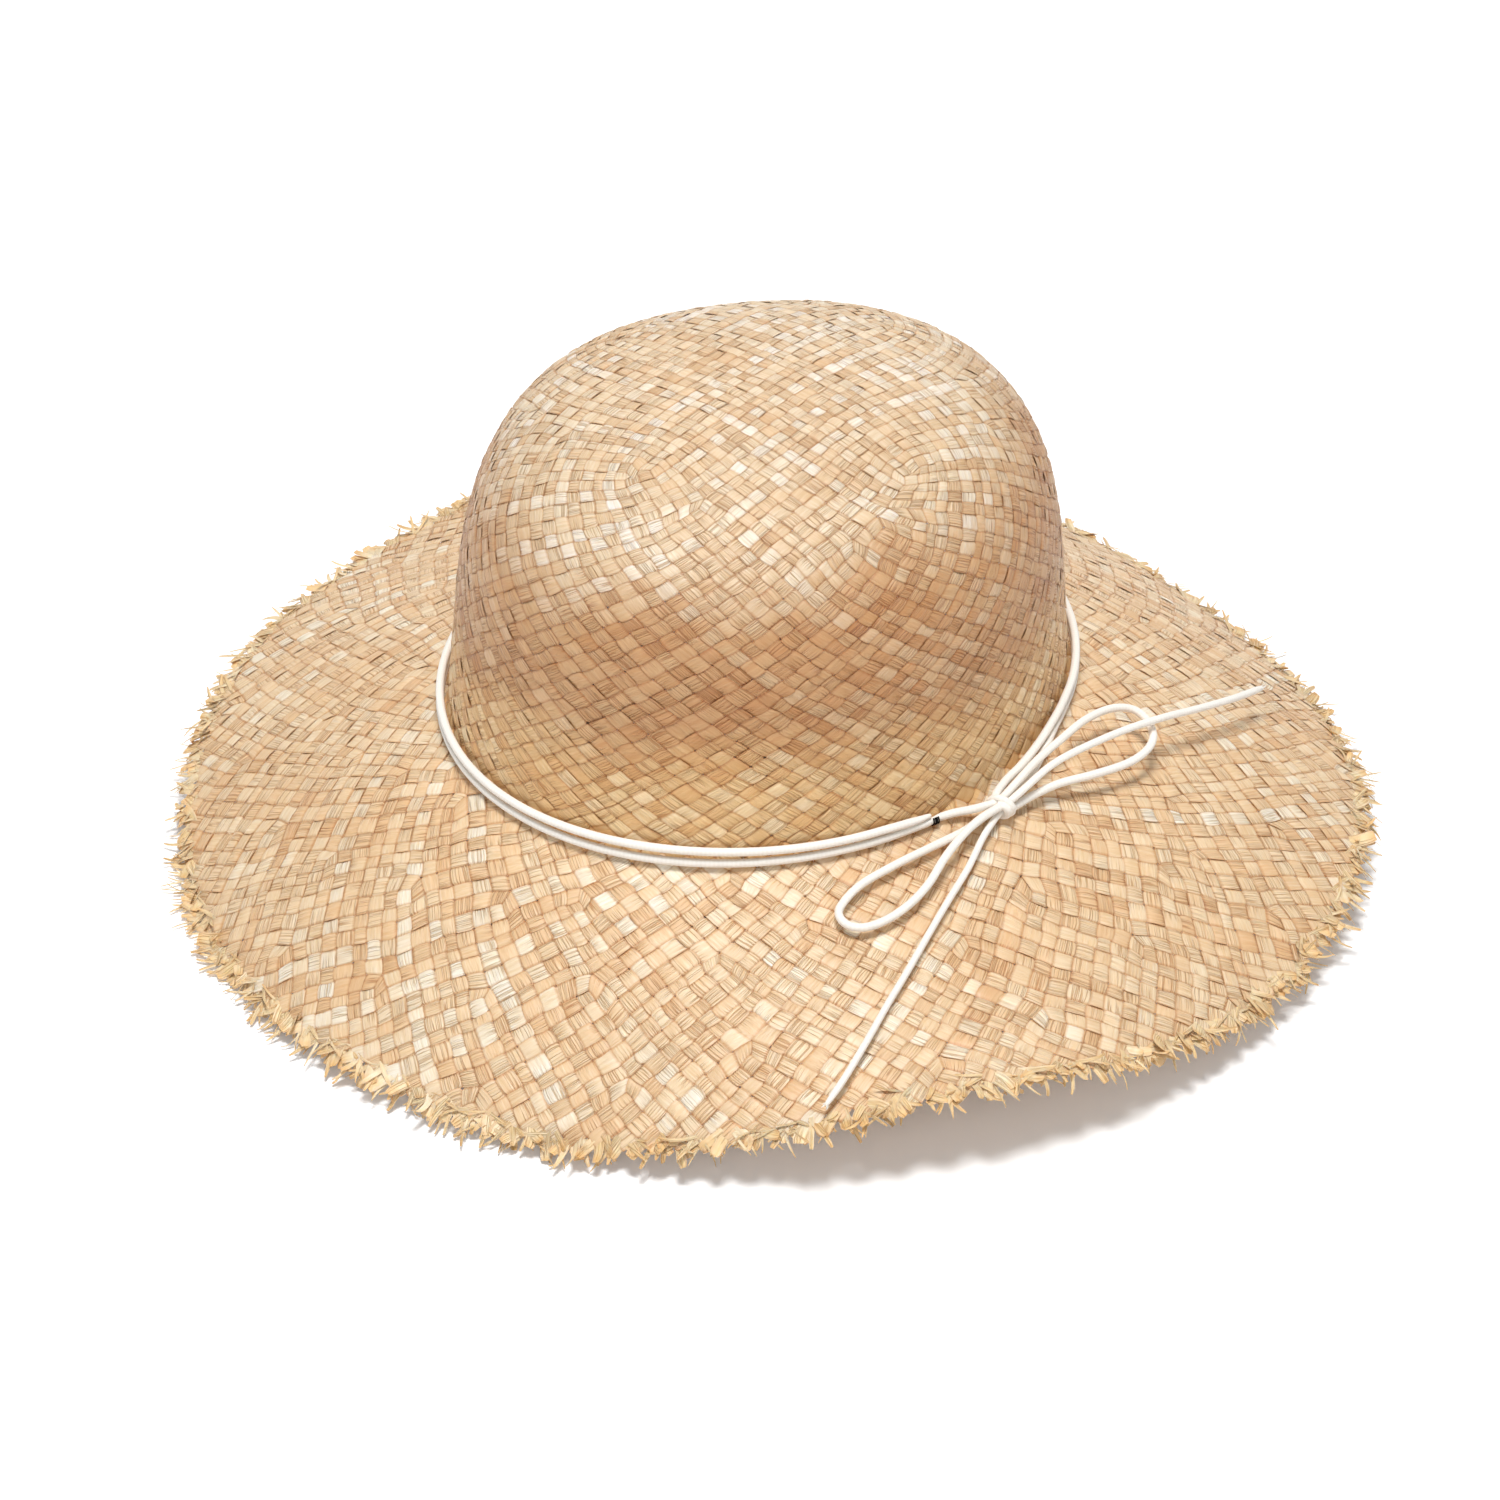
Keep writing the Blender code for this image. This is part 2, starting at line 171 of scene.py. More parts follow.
# Knot wrap and cut ends
KNOT_TURNS = 1.6
KNOT_CORD = 0.00224
KNOT_HALF_WIDTH = 0.0031
KNOT_HALF_HEIGHT = 0.0029
KNOT_TUCK = 0.0013
CUT_YARNS = 9

# Bow routes in the crown's frame, in tenths of a millimetre, each leaving the knot
LOOP_RIGHT = (
    (734, -624, 39), (796, -526, 48), (867, -427, 50), (939, -324, 46), (1017, -240, 29),
    (1084, -206, 6), (1127, -236, -13), (1141, -300, -25), (1119, -366, -30), (1059, -441, -25),
    (960, -516, -12), (856, -576, -3), (782, -629, -5),
)
LOOP_LEFT = (
    (579, -802, -8), (476, -890, -7), (376, -968, -11), (282, -1042, -24), (229, -1106, -42),
    (217, -1143, -57), (242, -1172, -70), (292, -1175, -75), (359, -1141, -68), (421, -1085, -54),
    (472, -1018, -34), (513, -944, -8), (566, -860, 12), (618, -790, 20),
)
TAIL_BACK = (
    (756, -654, 39), (816, -586, 54), (870, -532, 58), (961, -450, 53), (1068, -351, 36),
    (1178, -248, 6), (1291, -129, -42), (1408, 16, -102), (1505, 174, -170),
)
TAIL_FRONT = (
    (629, -814, -22), (582, -932, -47), (524, -1050, -73), (464, -1175, -102), (406, -1296, -133),
    (348, -1410, -164), (286, -1535, -202), (225, -1646, -241), (176, -1718, -273),
)

COLLECTION = bpy.context.scene.collection
SHARP_ANGLE = math.radians(65)


def smooth_step(value):
    value = np.clip(value, 0, 1)
    return value * value * (3 - 2 * value)


def mix(start, end, part):
    return start + (end - start) * part


def unit(vectors):
    return vectors / np.maximum(np.linalg.norm(vectors, axis=-1, keepdims=True), 1e-12)


def run_length(line):
    """How far along a line each of its points is."""
    return np.concatenate(([0], np.cumsum(np.linalg.norm(np.diff(line, axis=0), axis=1))))


# ---- the hood's upper surface


def head_radius(azimuth):
    turn = azimuth - BACK_OF_HEAD
    across = np.hypot(HEAD_HALF_WIDTH * np.cos(turn), HEAD_HALF_LENGTH * np.sin(turn))
    return HEAD_HALF_LENGTH * HEAD_HALF_WIDTH / across


def crown_surface(azimuth, level):
    """The crown's outside. Level 0 is the head line and 1 the middle of the tip."""
    share = np.maximum(1 - level**SHOULDER_SQUARE, 0) ** (1 / SHOULDER_ROUND)
    corner = 1 + TIP_SQUARENESS * level * np.cos(4 * (azimuth - TIP_CORNER))
    radius = head_radius(azimuth) * share * (1 - WALL_LEAN_IN * level) * corner
    x = radius * np.cos(azimuth) + TIP_SHIFT[0] * level
    y = radius * np.sin(azimuth) + TIP_SHIFT[1] * level
    return np.stack((x, y, CROWN_HEIGHT * level + TIP_TILT * x * level * share), axis=-1)


def edge_rise(azimuth):
    return sum(h * np.cos(n * (azimuth - math.radians(crest))) for n, h, crest in BRIM_WAVES)


def edge_radius(azimuth):
    along = BRIM_CENTRE[0] * np.cos(azimuth) + BRIM_CENTRE[1] * np.sin(azimuth)
    across = BRIM_CENTRE[0] * np.sin(azimuth) - BRIM_CENTRE[1] * np.cos(azimuth)
    return along + np.sqrt(BRIM_RADIUS**2 - across**2)


def brim_surface(azimuth, station):
    """The brim's upper side. Station 0 is the head line and 1 the last woven row."""
    inner = head_radius(azimuth) + BRIM_FLAT_MARGIN
    radius = mix(inner, edge_radius(azimuth), station)
    fall = BRIM_FALL * mix(station, station**2, BRIM_FALL_BEND)
    height = edge_rise(azimuth) * station**2 - fall - BRIM_GAP
    return np.stack((radius * np.cos(azimuth), radius * np.sin(azimuth), height), axis=-1)


def crown_profile():
    """Distances down the crown from the middle of its tip, and the level at each."""
    turn = np.linspace(math.pi / 2, 0, PROFILE_POINTS)
    line = crown_surface(np.full(PROFILE_POINTS, PROFILE_AZIMUTH), np.sin(turn))
    reach = run_length(line)
    return reach / reach[-1] * CROWN_REACH, turn


PROFILE = crown_profile()


def creased_hood(azimuth, reach):
    level = np.sin(np.interp(reach, *PROFILE))
    station = np.maximum(reach - CROWN_REACH, 0) / BRIM_REACH
    on_crown = (reach < CROWN_REACH)[..., None]
    return np.where(on_crown, crown_surface(azimuth, level), brim_surface(azimuth, station))


def hood(flat):
    """The hood's upper surface over flat points: distance from the tip, in each one's direction."""
    reach = np.hypot(flat[..., 0], flat[..., 1])
    azimuth = np.arctan2(flat[..., 1], flat[..., 0])
    near = FOLD_SOFTNESS * np.clip(1 - np.abs(reach - CROWN_REACH) / FOLD_FADES, 0, 1)
    total = creased_hood(azimuth, reach) * 0.4
    for side in (-1, -0.5, 0.5, 1):
        total = total + creased_hood(azimuth, reach + side * near) * 0.15
    return total


def tangents(flat, step=2e-4):
    east = hood(flat + (step, 0)) - hood(flat - (step, 0))
    north = hood(flat + (0, step)) - hood(flat - (0, step))
    return east / (2 * step), north / (2 * step)


# ---- net of cells


def row_reach(row):
    """About how far from the middle of the tip a row of corners lies."""
    return np.interp(row, (TIP_ROWS, HEAD_ROW, ROWS), (TIP_REACH, CROWN_REACH, EDGE_REACH))


def growth(row):
    """The cells' size by row: they grow from the tip down to the head line."""
    return np.interp(row, (TIP_ROWS, HEAD_ROW), (1, WALL_GROWTH))


def plan_rows():
    """For each row, which of its cell corners have three neighbours outward instead of two."""
    turn = np.linspace(0, 2 * math.pi, 145)
    rows = [[True] * 4]
    for row in range(1, ROWS):
        count = sum(3 if wide else 2 for wide in rows[-1]) - len(rows[-1])
        if row == 1:
            count = 4
        wide = [False] * count
        if row < TIP_ROWS:
            for corner in range(4):
                wide[corner * row] = True
        else:
            reach = row_reach(row + 1)
            ring = hood(np.stack((reach * np.cos(turn), reach * np.sin(turn)), axis=-1))
            around = np.linalg.norm(np.diff(ring, axis=0), axis=1).sum()
            room = around / (PITCH * growth(row) * math.sqrt(2)) - count
            if row < HEAD_ROW - 2:
                room = min(room, WALL_COUNT - count)
            more = int(min(max(room, 0), 6))
            phase = (row * 0.618034) % 1
            for k in range(more):
                wide[int((k + phase) * count / more) % count] = True
        rows.append(wide)
    return rows[1:]


def make_net():
    """The corners in each row and which are wide, then the cells, each corner's row, and the edges.

    A cell is its four corners' numbers, anticlockwise.
    """
    rows = plan_rows()
    members = [[0], [1, 2, 3, 4]]
    below = [[0, 0, 0, 0]]
    edges = [(0, k) for k in range(1, 5)]
    total = 5
    for wide in rows[:-1]:
        inner = members[-1]
        outer, feet = [], []
        # below[j] is the corner under the gap between outer[j] and outer[j + 1]
        for k, is_wide in enumerate(wide):
            after = inner[(k + 1) % len(inner)]
            if is_wide:
                outer.append(total)
                edges.append((inner[k], total))
                feet.append(inner[k])
                total += 1
            outer.append(total)
            edges += [(inner[k], total), (after, total)]
            feet.append(after)
            total += 1
        members.append(outer)
        below.append(feet)
    row_of = np.zeros(total, int)
    for row, ring in enumerate(members):
        row_of[ring] = row
    cells = []
    for row in range(1, len(members) - 1):
        ring = members[row]
        # shared[j] is the outward corner that ring[j] and ring[j + 1] share
        shared, place = [], 0
        for is_wide in rows[row - 1]:
            place += 1 if is_wide else 0
            shared.append(members[row + 1][place])
            place += 1
        for j, corner in enumerate(ring):
            after = ring[(j + 1) % len(ring)]
            cell = (below[row - 1][j], corner, shared[j], after)
            cells.append(cell if row % 2 else cell[1:] + cell[:1])
    return members, rows, np.array(cells), row_of, np.array(edges)


def first_places(members, wide_rows):
    """A starting flat place for each corner: a square lattice in the tip, then evenly spread rows."""
    flat = np.zeros((members[-1][-1] + 1, 2))
    angle = TIP_CORNER + np.arange(4) * math.pi / 2
    for row, ring in enumerate(members[1:], 1):
        count = len(ring)
        even = np.arange(count) * 2 * math.pi / count
        if row > 1:
            inner = np.append(angle, angle[0] + 2 * math.pi)
            middles = (inner[1:] + inner[:-1]) / 2
            wide = np.array(wide_rows[row - 2])
            spots = np.arange(len(wide))
            angle = np.concatenate((inner[:-1][wide], middles))
            angle = angle[np.argsort(np.concatenate((spots[wide] - 0.5, spots)))]
            angle = mix(angle, even + (angle - even).mean(), 0.15)
        turn = (angle - TIP_CORNER) / (math.pi / 2)
        square = 1 / (1 + 0.414 * (1 - np.abs((turn % 1) * 2 - 1)))
        away = row * PITCH if row <= TIP_ROWS else row_reach(row)
        shape = mix(square, 1, smooth_step((row - TIP_ROWS) / 9))
        flat[ring] = np.stack((np.cos(angle), np.sin(angle)), axis=-1) * (away * shape)[:, None]
    return flat


def wanted_widths(edges, strands, row_of):
    """Each strand has its own width, and so has every edge of the net that it passes over."""
    chance = np.random.default_rng(8)
    number_of = {frozenset(edge): k for k, edge in enumerate(edges.tolist())}
    wanted = np.zeros(len(edges))
    for rungs, _ in strands:
        width = PITCH * np.clip(chance.normal(1, STRAND_WIDTHS), 0.68, 1.38)
        wanted[[number_of[frozenset(rung)] for rung in rungs.tolist()]] = width
    return wanted * growth(row_of[edges].mean(axis=1))


def relax(flat, edges, wanted, rim, rounds):
    """Settles the net on the hood: every strand keeps its own width, and cells want to be square."""
    first, second = edges.T
    count = len(flat)
    wanted = wanted[:, None]
    for turn in range(rounds):
        if turn % 10 == 0:
            east, north = tangents(flat)
            ee, en, nn = (east * east).sum(1), (east * north).sum(1), (north * north).sum(1)
        here = creased_hood(np.arctan2(flat[:, 1], flat[:, 0]), np.hypot(flat[:, 0], flat[:, 1]))
        span = here[second] - here[first]
        length = np.linalg.norm(span, axis=1, keepdims=True)
        pull = span * (WIDTH_PULL * (1 - wanted / length) + LENGTH_PULL)
        force = np.stack(
            [
                np.bincount(first, pull[:, k], count) - np.bincount(second, pull[:, k], count)
                for k in range(3)
            ],
            axis=-1,
        )
        size = np.linalg.norm(force, axis=1, keepdims=True)
        force *= np.minimum(1, LONGEST_STEP / np.maximum(size, 1e-9))
        fe, fn = (force * east).sum(1), (force * north).sum(1)
        scale = EASE / (ee * nn - en * en)
        flat = flat + np.stack(((nn * fe - en * fn) * scale, (ee * fn - en * fe) * scale), axis=-1)
        flat[0] = mix(flat[0], 0, 0.5)
        flat[rim] *= EDGE_REACH / np.linalg.norm(flat[rim], axis=1, keepdims=True)
    return flat


def strands_of(cells):
    """Each strand's (left corner, right corner) pairs from cell to cell, and which cells it is over in."""
    where = {}
    for number, cell in enumerate(cells.tolist()):
        for side in range(4):
            key = frozenset((cell[side], cell[(side + 1) % 4]))
            where.setdefault(key, []).append((number, side))
    cells = cells.tolist()
    done = set()
    strands = []
    for key, users in where.items():
        if len(users) != 1 or key in done:
            continue
        number, side = users[0]
        rungs = [(cells[number][side], cells[number][(side + 1) % 4])]
        over = []
        while True:
            cell = cells[number]
            over.append(side % 2 == 0)
            rungs.append((cell[(side + 3) % 4], cell[(side + 2) % 4]))
            out = (side + 2) % 4
            key_out = frozenset((cell[out], cell[(out + 1) % 4]))
            others = [user for user in where[key_out] if user[0] != number]
            if not others:
                done.add(key_out)
                break
            number, side = others[0]
        done.add(key)
        strands.append((np.array(rungs), np.array(over)))
    return strands


# ---- meshes


def mesh_piece(name, points, faces, material, attributes=None):
    """A mesh object from points in the crown's frame. Faces are one array, or several of different sizes."""
    groups = faces if isinstance(faces, list) else [faces]
    groups = [np.asarray(group) for group in groups if len(group)]
    loops = np.concatenate([group.ravel() for group in groups]).astype(np.int32)
    sizes = np.concatenate([np.full(len(group), group.shape[1]) for group in groups])
    mesh = bpy.data.meshes.new(name)
    mesh.vertices.add(len(points))
    mesh.vertices.foreach_set("co", (np.asarray(points) + ORIGIN).astype(np.float32).ravel())
    mesh.loops.add(len(loops))
    mesh.loops.foreach_set("vertex_index", loops)
    mesh.polygons.add(len(sizes))
    starts = np.cumsum(sizes) - sizes
    mesh.polygons.foreach_set("loop_start", starts.astype(np.int32))
    for title, values in (attributes or {}).items():
        attribute = mesh.attributes.new(title, "FLOAT", "POINT")
        attribute.data.foreach_set("value", np.asarray(values, np.float32).ravel())
    mesh.update(calc_edges=True)
    mesh.validate()
    mesh.shade_smooth()
    mesh.set_sharp_from_angle(angle=SHARP_ANGLE)
    obj = bpy.data.objects.new(name, mesh)
    COLLECTION.objects.link(obj)
    mesh.materials.append(material)
    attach(obj, "root")
    return obj


def skin(around, chain):
    """Quads from each section to the next of its chain, and the chains' end faces.

    Sections have around points each, and chain says which chain each section is in.
    """
    k = np.arange(around)
    after = (k + 1) % around
    low = np.flatnonzero(chain[:-1] == chain[1:])[:, None] * around
    high = low + around
    sides = np.stack((low + k, low + after, high + after, high + k), axis=-1).reshape(-1, 4)
    starts = np.flatnonzero(np.append(True, chain[1:] != chain[:-1]))
    ends = np.append(starts[1:], len(chain)) - 1
    return [sides, np.concatenate((starts[:, None] * around + k[::-1], ends[:, None] * around + k))]


# ---- woven strands

# A strand's section: across in half widths, and up in metres
SECTION = np.array(
    (
        (-1.00, -0.00002),
        (-0.82, 0.00008),
        (0.00, 0.00012),
        (0.82, 0.00008),
        (1.00, -0.00002),
        (0.50, -0.00010),
        (-0.50, -0.00010),
    )
)
WAVE_HEIGHT = 0.00024
WEAVE_PIECES = 3
PINCHED_SHARE = 0.10
PINCH = 0.86
UNDER_SHARE = 0.94
OVERHANG = 0.96
OVERHANG_SPREAD = 0.07
CELL_WIDTH_SPREAD = 0.12
EDGE_ROUGHNESS = 0.04
ROLL = 0.22
SIDE_SHIFT = 0.14
RIDGE_SPREAD = 0.00022
FLAT_SHARE = 0.62
CREAM_FROM = 0.92
CREAM_STEP = 0.45
# Down one cell: place, rise over the strand below, and width as a share of the cell
STEPS = ((0, 0, 0.99), (0.16, 0.80, 1.07), (0.50, 1, 1.10), (0.84, 0.80, 1.07))


def strand_sections(strands, corners, up, reach, chance):
    """All strands' sections one after another: middle, half width, height, and what the material needs."""
    parts = []
    for number, (rungs, over) in enumerate(strands):
        left, right = corners[rungs[:, 0]], corners[rungs[:, 1]]
        steps = len(over)
        normal = up[rungs].mean(axis=1)
        place, rise, fill = np.array(STEPS).T
        at = np.append((np.arange(steps)[:, None] + place).ravel(), steps)
        low = np.minimum(at.astype(int), steps - 1)
        part = (at - low)[:, None]
        sign = np.where(over, 1.0, -1.0)[low]
        free = np.append(np.tile(rise, steps), 0)
        lift = free * WAVE_HEIGHT * (0.75 + 0.5 * chance.random(steps))[low]
        full = OVERHANG + OVERHANG_SPREAD * chance.random()
        wide = np.append(np.tile(fill, steps), fill[0]) * np.where(sign > 0, full, full * UNDER_SHARE)
        wide *= 1 + CELL_WIDTH_SPREAD * (chance.random(steps) - 0.5)[low] * free
        wide *= 1 + EDGE_ROUGHNESS * (chance.random(len(at)) - 0.5)
        wide *= np.where((free == 0) & (chance.random(len(at)) < PINCHED_SHARE), PINCH, 1)
        one, two = mix(left[low], left[low + 1], part), mix(right[low], right[low + 1], part)
        middle = (one + two) / 2
        side = (two - one) / 2 * wide[:, None]
        facing = unit(mix(normal[low], normal[low + 1], part))
        roll = (chance.random(steps) - 0.5)[low] * ROLL * free
        side = side + facing * (roll * np.linalg.norm(side, axis=1))[:, None]
        shift = (chance.random(steps) - 0.5)[low] * SIDE_SHIFT * free
        middle = middle + side * shift[:, None]
        away = reach[rungs].mean(axis=1)
        far = mix(away[low], away[low + 1], part[:, 0])
        same = np.full(len(at), number)
        parts.append((middle, side, facing, sign * lift, run_length(middle), far, same, free))
    return [np.concatenate(column) for column in zip(*parts)]


def weave_points(middle, side, facing, height, ridge):
    across, up = SECTION.T
    shape = up[None, :] + (across[None, :] == 0) * ridge[:, None] * (up[None, :] > 0)
    lift = height[:, None] + shape
    return middle[:, None] + side[:, None] * across[None, :, None] + facing[:, None] * lift[..., None]


def make_weave(strands, corners, up, reach, material_crown, material_brim):
    chance = np.random.default_rng(11)
    middle, side, facing, height, length, far, chain, free = strand_sections(
        strands, corners, up, reach, chance
    )
    tone = chance.random(len(strands))
    tone += (tone > CREAM_FROM) * CREAM_STEP
    seed = chance.random(len(strands))
    ridge = (chance.random(len(strands)) - FLAT_SHARE) * RIDGE_SPREAD
    points = weave_points(middle, side, facing, height, ridge[chain])
    around = len(SECTION)
    across = np.broadcast_to(SECTION[:, 0], (len(chain), around))
    for name, slot, material, wanted in (
        ("crown", "crown_raffia", material_crown, far < CROWN_REACH),
        ("brim", "brim_raffia", material_brim, far >= CROWN_REACH),
    ):
        for share in range(WEAVE_PIECES):
            use = wanted & (chain % WEAVE_PIECES == share)
            if name == "brim":
                # one section more, so that brim and crown meet
                touching = np.zeros_like(use)
                same = chain[1:] == chain[:-1]
                touching[:-1] |= use[1:] & same
                touching[1:] |= use[:-1] & same
                use = use | touching
            index = np.flatnonzero(use)
            run = np.cumsum(np.append(0, (np.diff(index) != 1) | (np.diff(chain[index]) != 0)))
            piece = mesh_piece(
                f"{name}_weave_{share + 1}",
                points[index].reshape(-1, 3),
                skin(around, run),
                material,
                {
                    "across": across[index],
                    "along": np.repeat(length[index], around),
                    "tone": np.repeat(tone[chain[index]], around),
                    "seed": np.repeat(seed[chain[index]], around),
                    "free": np.repeat(free[index], around),
                },
            )
            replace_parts(piece, name)
    return tone, seed


# ---- frayed edge


# For a flap and a sliver: reach beyond the root, half width and offset as shares of the strand,
# how much the tip narrows, and the spread of its turn
FRINGE = (
    ((0.0024, 0.0062), (0.22, 0.42), 0.12, (-0.1, 0.25), 0.30),
    ((0.0034, 0.0094), (0.06, 0.18), 0.45, (0.2, 0.85), 0.55),
)
SLIVER_SECTION = np.array(((-1, 0), (0, 0.00008), (1, 0), (0, -0.00006)))
CURL = 50
DIVE = -20
DIVE_SPREAD = 45
TWIST = 0.25
LEAN_OUT = 0.35
CUT_WIDTH = 0.75


def make_fringe(strands, corners, up, tone, seed, material):
    """Each cut strand end, split into a few flat, tousled slivers."""
    chance = np.random.default_rng(5)
    points, chain, across, along, tips, tones, seeds = [], [], [], [], [], [], []
    number = 0
    floor = FLOOR_CLEARANCE - ORIGIN[2]
    for strand, (rungs, _) in enumerate(strands):
        for end, before in ((0, 1), (-1, -2)):
            left, right = corners[rungs[end]]
            middle = (left + right) / 2
            heading = unit(middle - corners[rungs[before]].mean(axis=0))
            normal = unit(up[rungs[end]].mean(axis=0))
            width = np.linalg.norm(right - left)
            sideways = unit(right - left)
            outward = unit(np.append(middle[:2], 0))
            heading = unit(heading + outward * LEAN_OUT)
            for sliver in range(SLIVERS):
                beyond, halves, aside, narrowing, turns = FRINGE[0 if sliver < FLAPS else 1]
                place = chance.uniform(-aside, aside)
                spot = middle - heading * FRINGE_ROOT + sideways * place * width
                spot = spot + normal * chance.uniform(-0.0003, 0.0005)
                long = FRINGE_ROOT + chance.uniform(*beyond)
                half = width * chance.uniform(*halves)
                narrow = chance.uniform(*narrowing)
                turn = chance.normal(0, turns)
                curl = chance.normal(0, CURL)
                dive = chance.normal(DIVE, DIVE_SPREAD)
                direction = unit(heading + sideways * turn + normal * chance.uniform(-0.16, 0.20))
                flat_side = unit(np.cross(direction, normal))
                twist = chance.normal(0, TWIST)
                flat_side = unit(flat_side * math.cos(twist) + normal * math.sin(twist))
                step = long / (SLIVER_STEPS - 1)
                for k in range(SLIVER_STEPS):
                    share = k / (SLIVER_STEPS - 1)
                    thin = half * (1 - narrow * share**2.2) * (CUT_WIDTH if share == 1 else 1)
                    face = unit(np.cross(flat_side, direction))
                    wide, thick = SLIVER_SECTION.T
                    points.append(spot + np.outer(wide * thin, flat_side) + np.outer(thick, face))
                    chain.append(number)
                    across.append(wide * 0.5 + place)
                    along.append(share * long)
                    tips.append(share)
                    tones.append(tone[strand] * 0.5 + chance.random() * 0.5)
                    seeds.append(seed[strand])
                    spot = spot + direction * step
                    if spot[2] < floor:
                        spot[2] = floor
                        direction = unit(direction * (1, 1, 0) + (0, 0, 0.05))
                        flat_side = unit(flat_side * (1, 1, 0.2))
                    direction = unit(direction + flat_side * curl * step + face * dive * step)
                    flat_side = unit(flat_side - direction * flat_side.dot(direction))
                number += 1
    per_section = {"along": along, "tip": tips, "tone": tones, "seed": seeds}
    around = len(SLIVER_SECTION)
    fringe = mesh_piece(
        "frayed_edge_fringe",
        np.concatenate(points),
        skin(around, np.array(chain)),
        material,
        {"across": np.concatenate(across)}
        | {title: np.repeat(values, around) for title, values in per_section.items()},
    )
    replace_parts(fringe, "frayed_edge")


# ---- cord


def smooth_route(points, spacing):
    """Points about spacing apart on a smooth curve through the given ones."""
    points = [np.array(point, float) for point in points]
    ends = [2 * points[0] - points[1]] + points + [2 * points[-1] - points[-2]]
    curve = [points[0]]
    for before, start, end, after in zip(ends, ends[1:], ends[2:], ends[3:]):
        count = max(1, round(np.linalg.norm(end - start) / spacing))
        for k in range(1, count + 1):
            t = k / count
            bend = 2 * before - 5 * start + 4 * end - after
            swing = 3 * start - before - 3 * end + after
            curve.append(0.5 * (2 * start + (end - before) * t + bend * t**2 + swing * t**3))
    return np.array(curve)


def tube(line, radii, around=12):
    """A tube's points, section after section, with sections that don't twist."""
    heading = unit(np.gradient(line, axis=0))
    side = unit(np.cross(heading[0], (0.0, 0.0, 1.0)))
    angle = np.arange(around) * 2 * math.pi / around
    rings = []
    for spot, ahead, radius in zip(line, heading, radii):
        side = unit(side - ahead * side.dot(ahead))
        other = np.cross(ahead, side)
        ring = spot + radius * (np.outer(np.cos(angle), side) + np.outer(np.sin(angle), other))
        rings.append(ring)
    return np.concatenate(rings)


def tubes(name, lines, radii, around, material, along=None):
    """One mesh of round tubes. along is the distance along each, where the material reads it."""
    chain = np.repeat(np.arange(len(lines)), [len(line) for line in lines])
    attributes = {}
    if along is not None:
        turn = np.tile(np.arange(around) * 2 * math.pi / around, len(chain))
        along = np.repeat(np.concatenate(along), around)
        attributes = {"along": along, "turn_x": np.cos(turn), "turn_y": np.sin(turn)}
    points = [tube(line, radius, around) for line, radius in zip(lines, radii)]
    skins = skin(around, chain)
    return mesh_piece(name, np.concatenate(points), skins, material, attributes)


def cord_piece(name, line, material, radii):
    return tubes(name, [line], [radii], 12, material, [run_length(line)])


def knot_slot(side, outward, upward):
    """Where a strand leaves the knot: side 1 or -1, then which of the four places in the bundle."""
    offset = KNOT_OUT * outward + UP * upward
    return KNOT + KNOT_ALONG * (side * STRAND_START) + offset * STRAND_OFFSET


def knot_core(side, outward, upward):
    """Where the same strand runs inside the knot."""
    inward = KNOT_ALONG * (side * STRAND_START * 0.7)
    return mix(KNOT, knot_slot(side, outward, upward), 0.8) - inward


def band_point(turn, is_upper):
    """A strand of the band at turn degrees from the knot, clockwise from above."""
    azimuth = math.radians(KNOT_AZIMUTH - turn)
    arriving = smooth_step((turn - ARRIVING_STARTS) / (360 - ARRIVING_STARTS))
    if is_upper:
        gap = math.exp(-(((turn - BAND_FRONT_GAP_AT) / BAND_FRONT_GAP_REACH) ** 2)) * BAND_FRONT_GAP
        height = BAND_HIGH + gap
        height -= UPPER_END_SINKS * (1 - smooth_step((turn - UPPER_BAND_END) / 10))
        height = mix(height, KNOT[2] + STRAND_OFFSET, arriving)
        away = UPPER_BAND_AT_KNOT * arriving
    else:
        leaving = 1 - smooth_step(turn / LEAVING_ENDS)
        height = mix(BAND_LOW, KNOT[2] + STRAND_OFFSET, leaving)
        height = mix(height, KNOT[2] - STRAND_OFFSET, arriving)
        away = LOWER_BAND_AT_KNOT * (leaving + arriving)
    radius = head_radius(azimuth) + BAND_CLEARANCE + CORD / 2 + away
    return np.array((radius * math.cos(azimuth), radius * math.sin(azimuth), height))


def tapered(line, reach, start=1.0, end=1.0, thick=CORD):
    """Radii of a cord that narrows to these shares of its size over the last stretch of each end."""
    length = run_length(line)
    from_end = length[-1] - length
    first = mix(start, 1, np.sqrt(np.clip(length / reach, 0, 1)))
    last = mix(end, 1, np.sqrt(np.clip(from_end / reach, 0, 1)))
    return thick / 2 * first * last


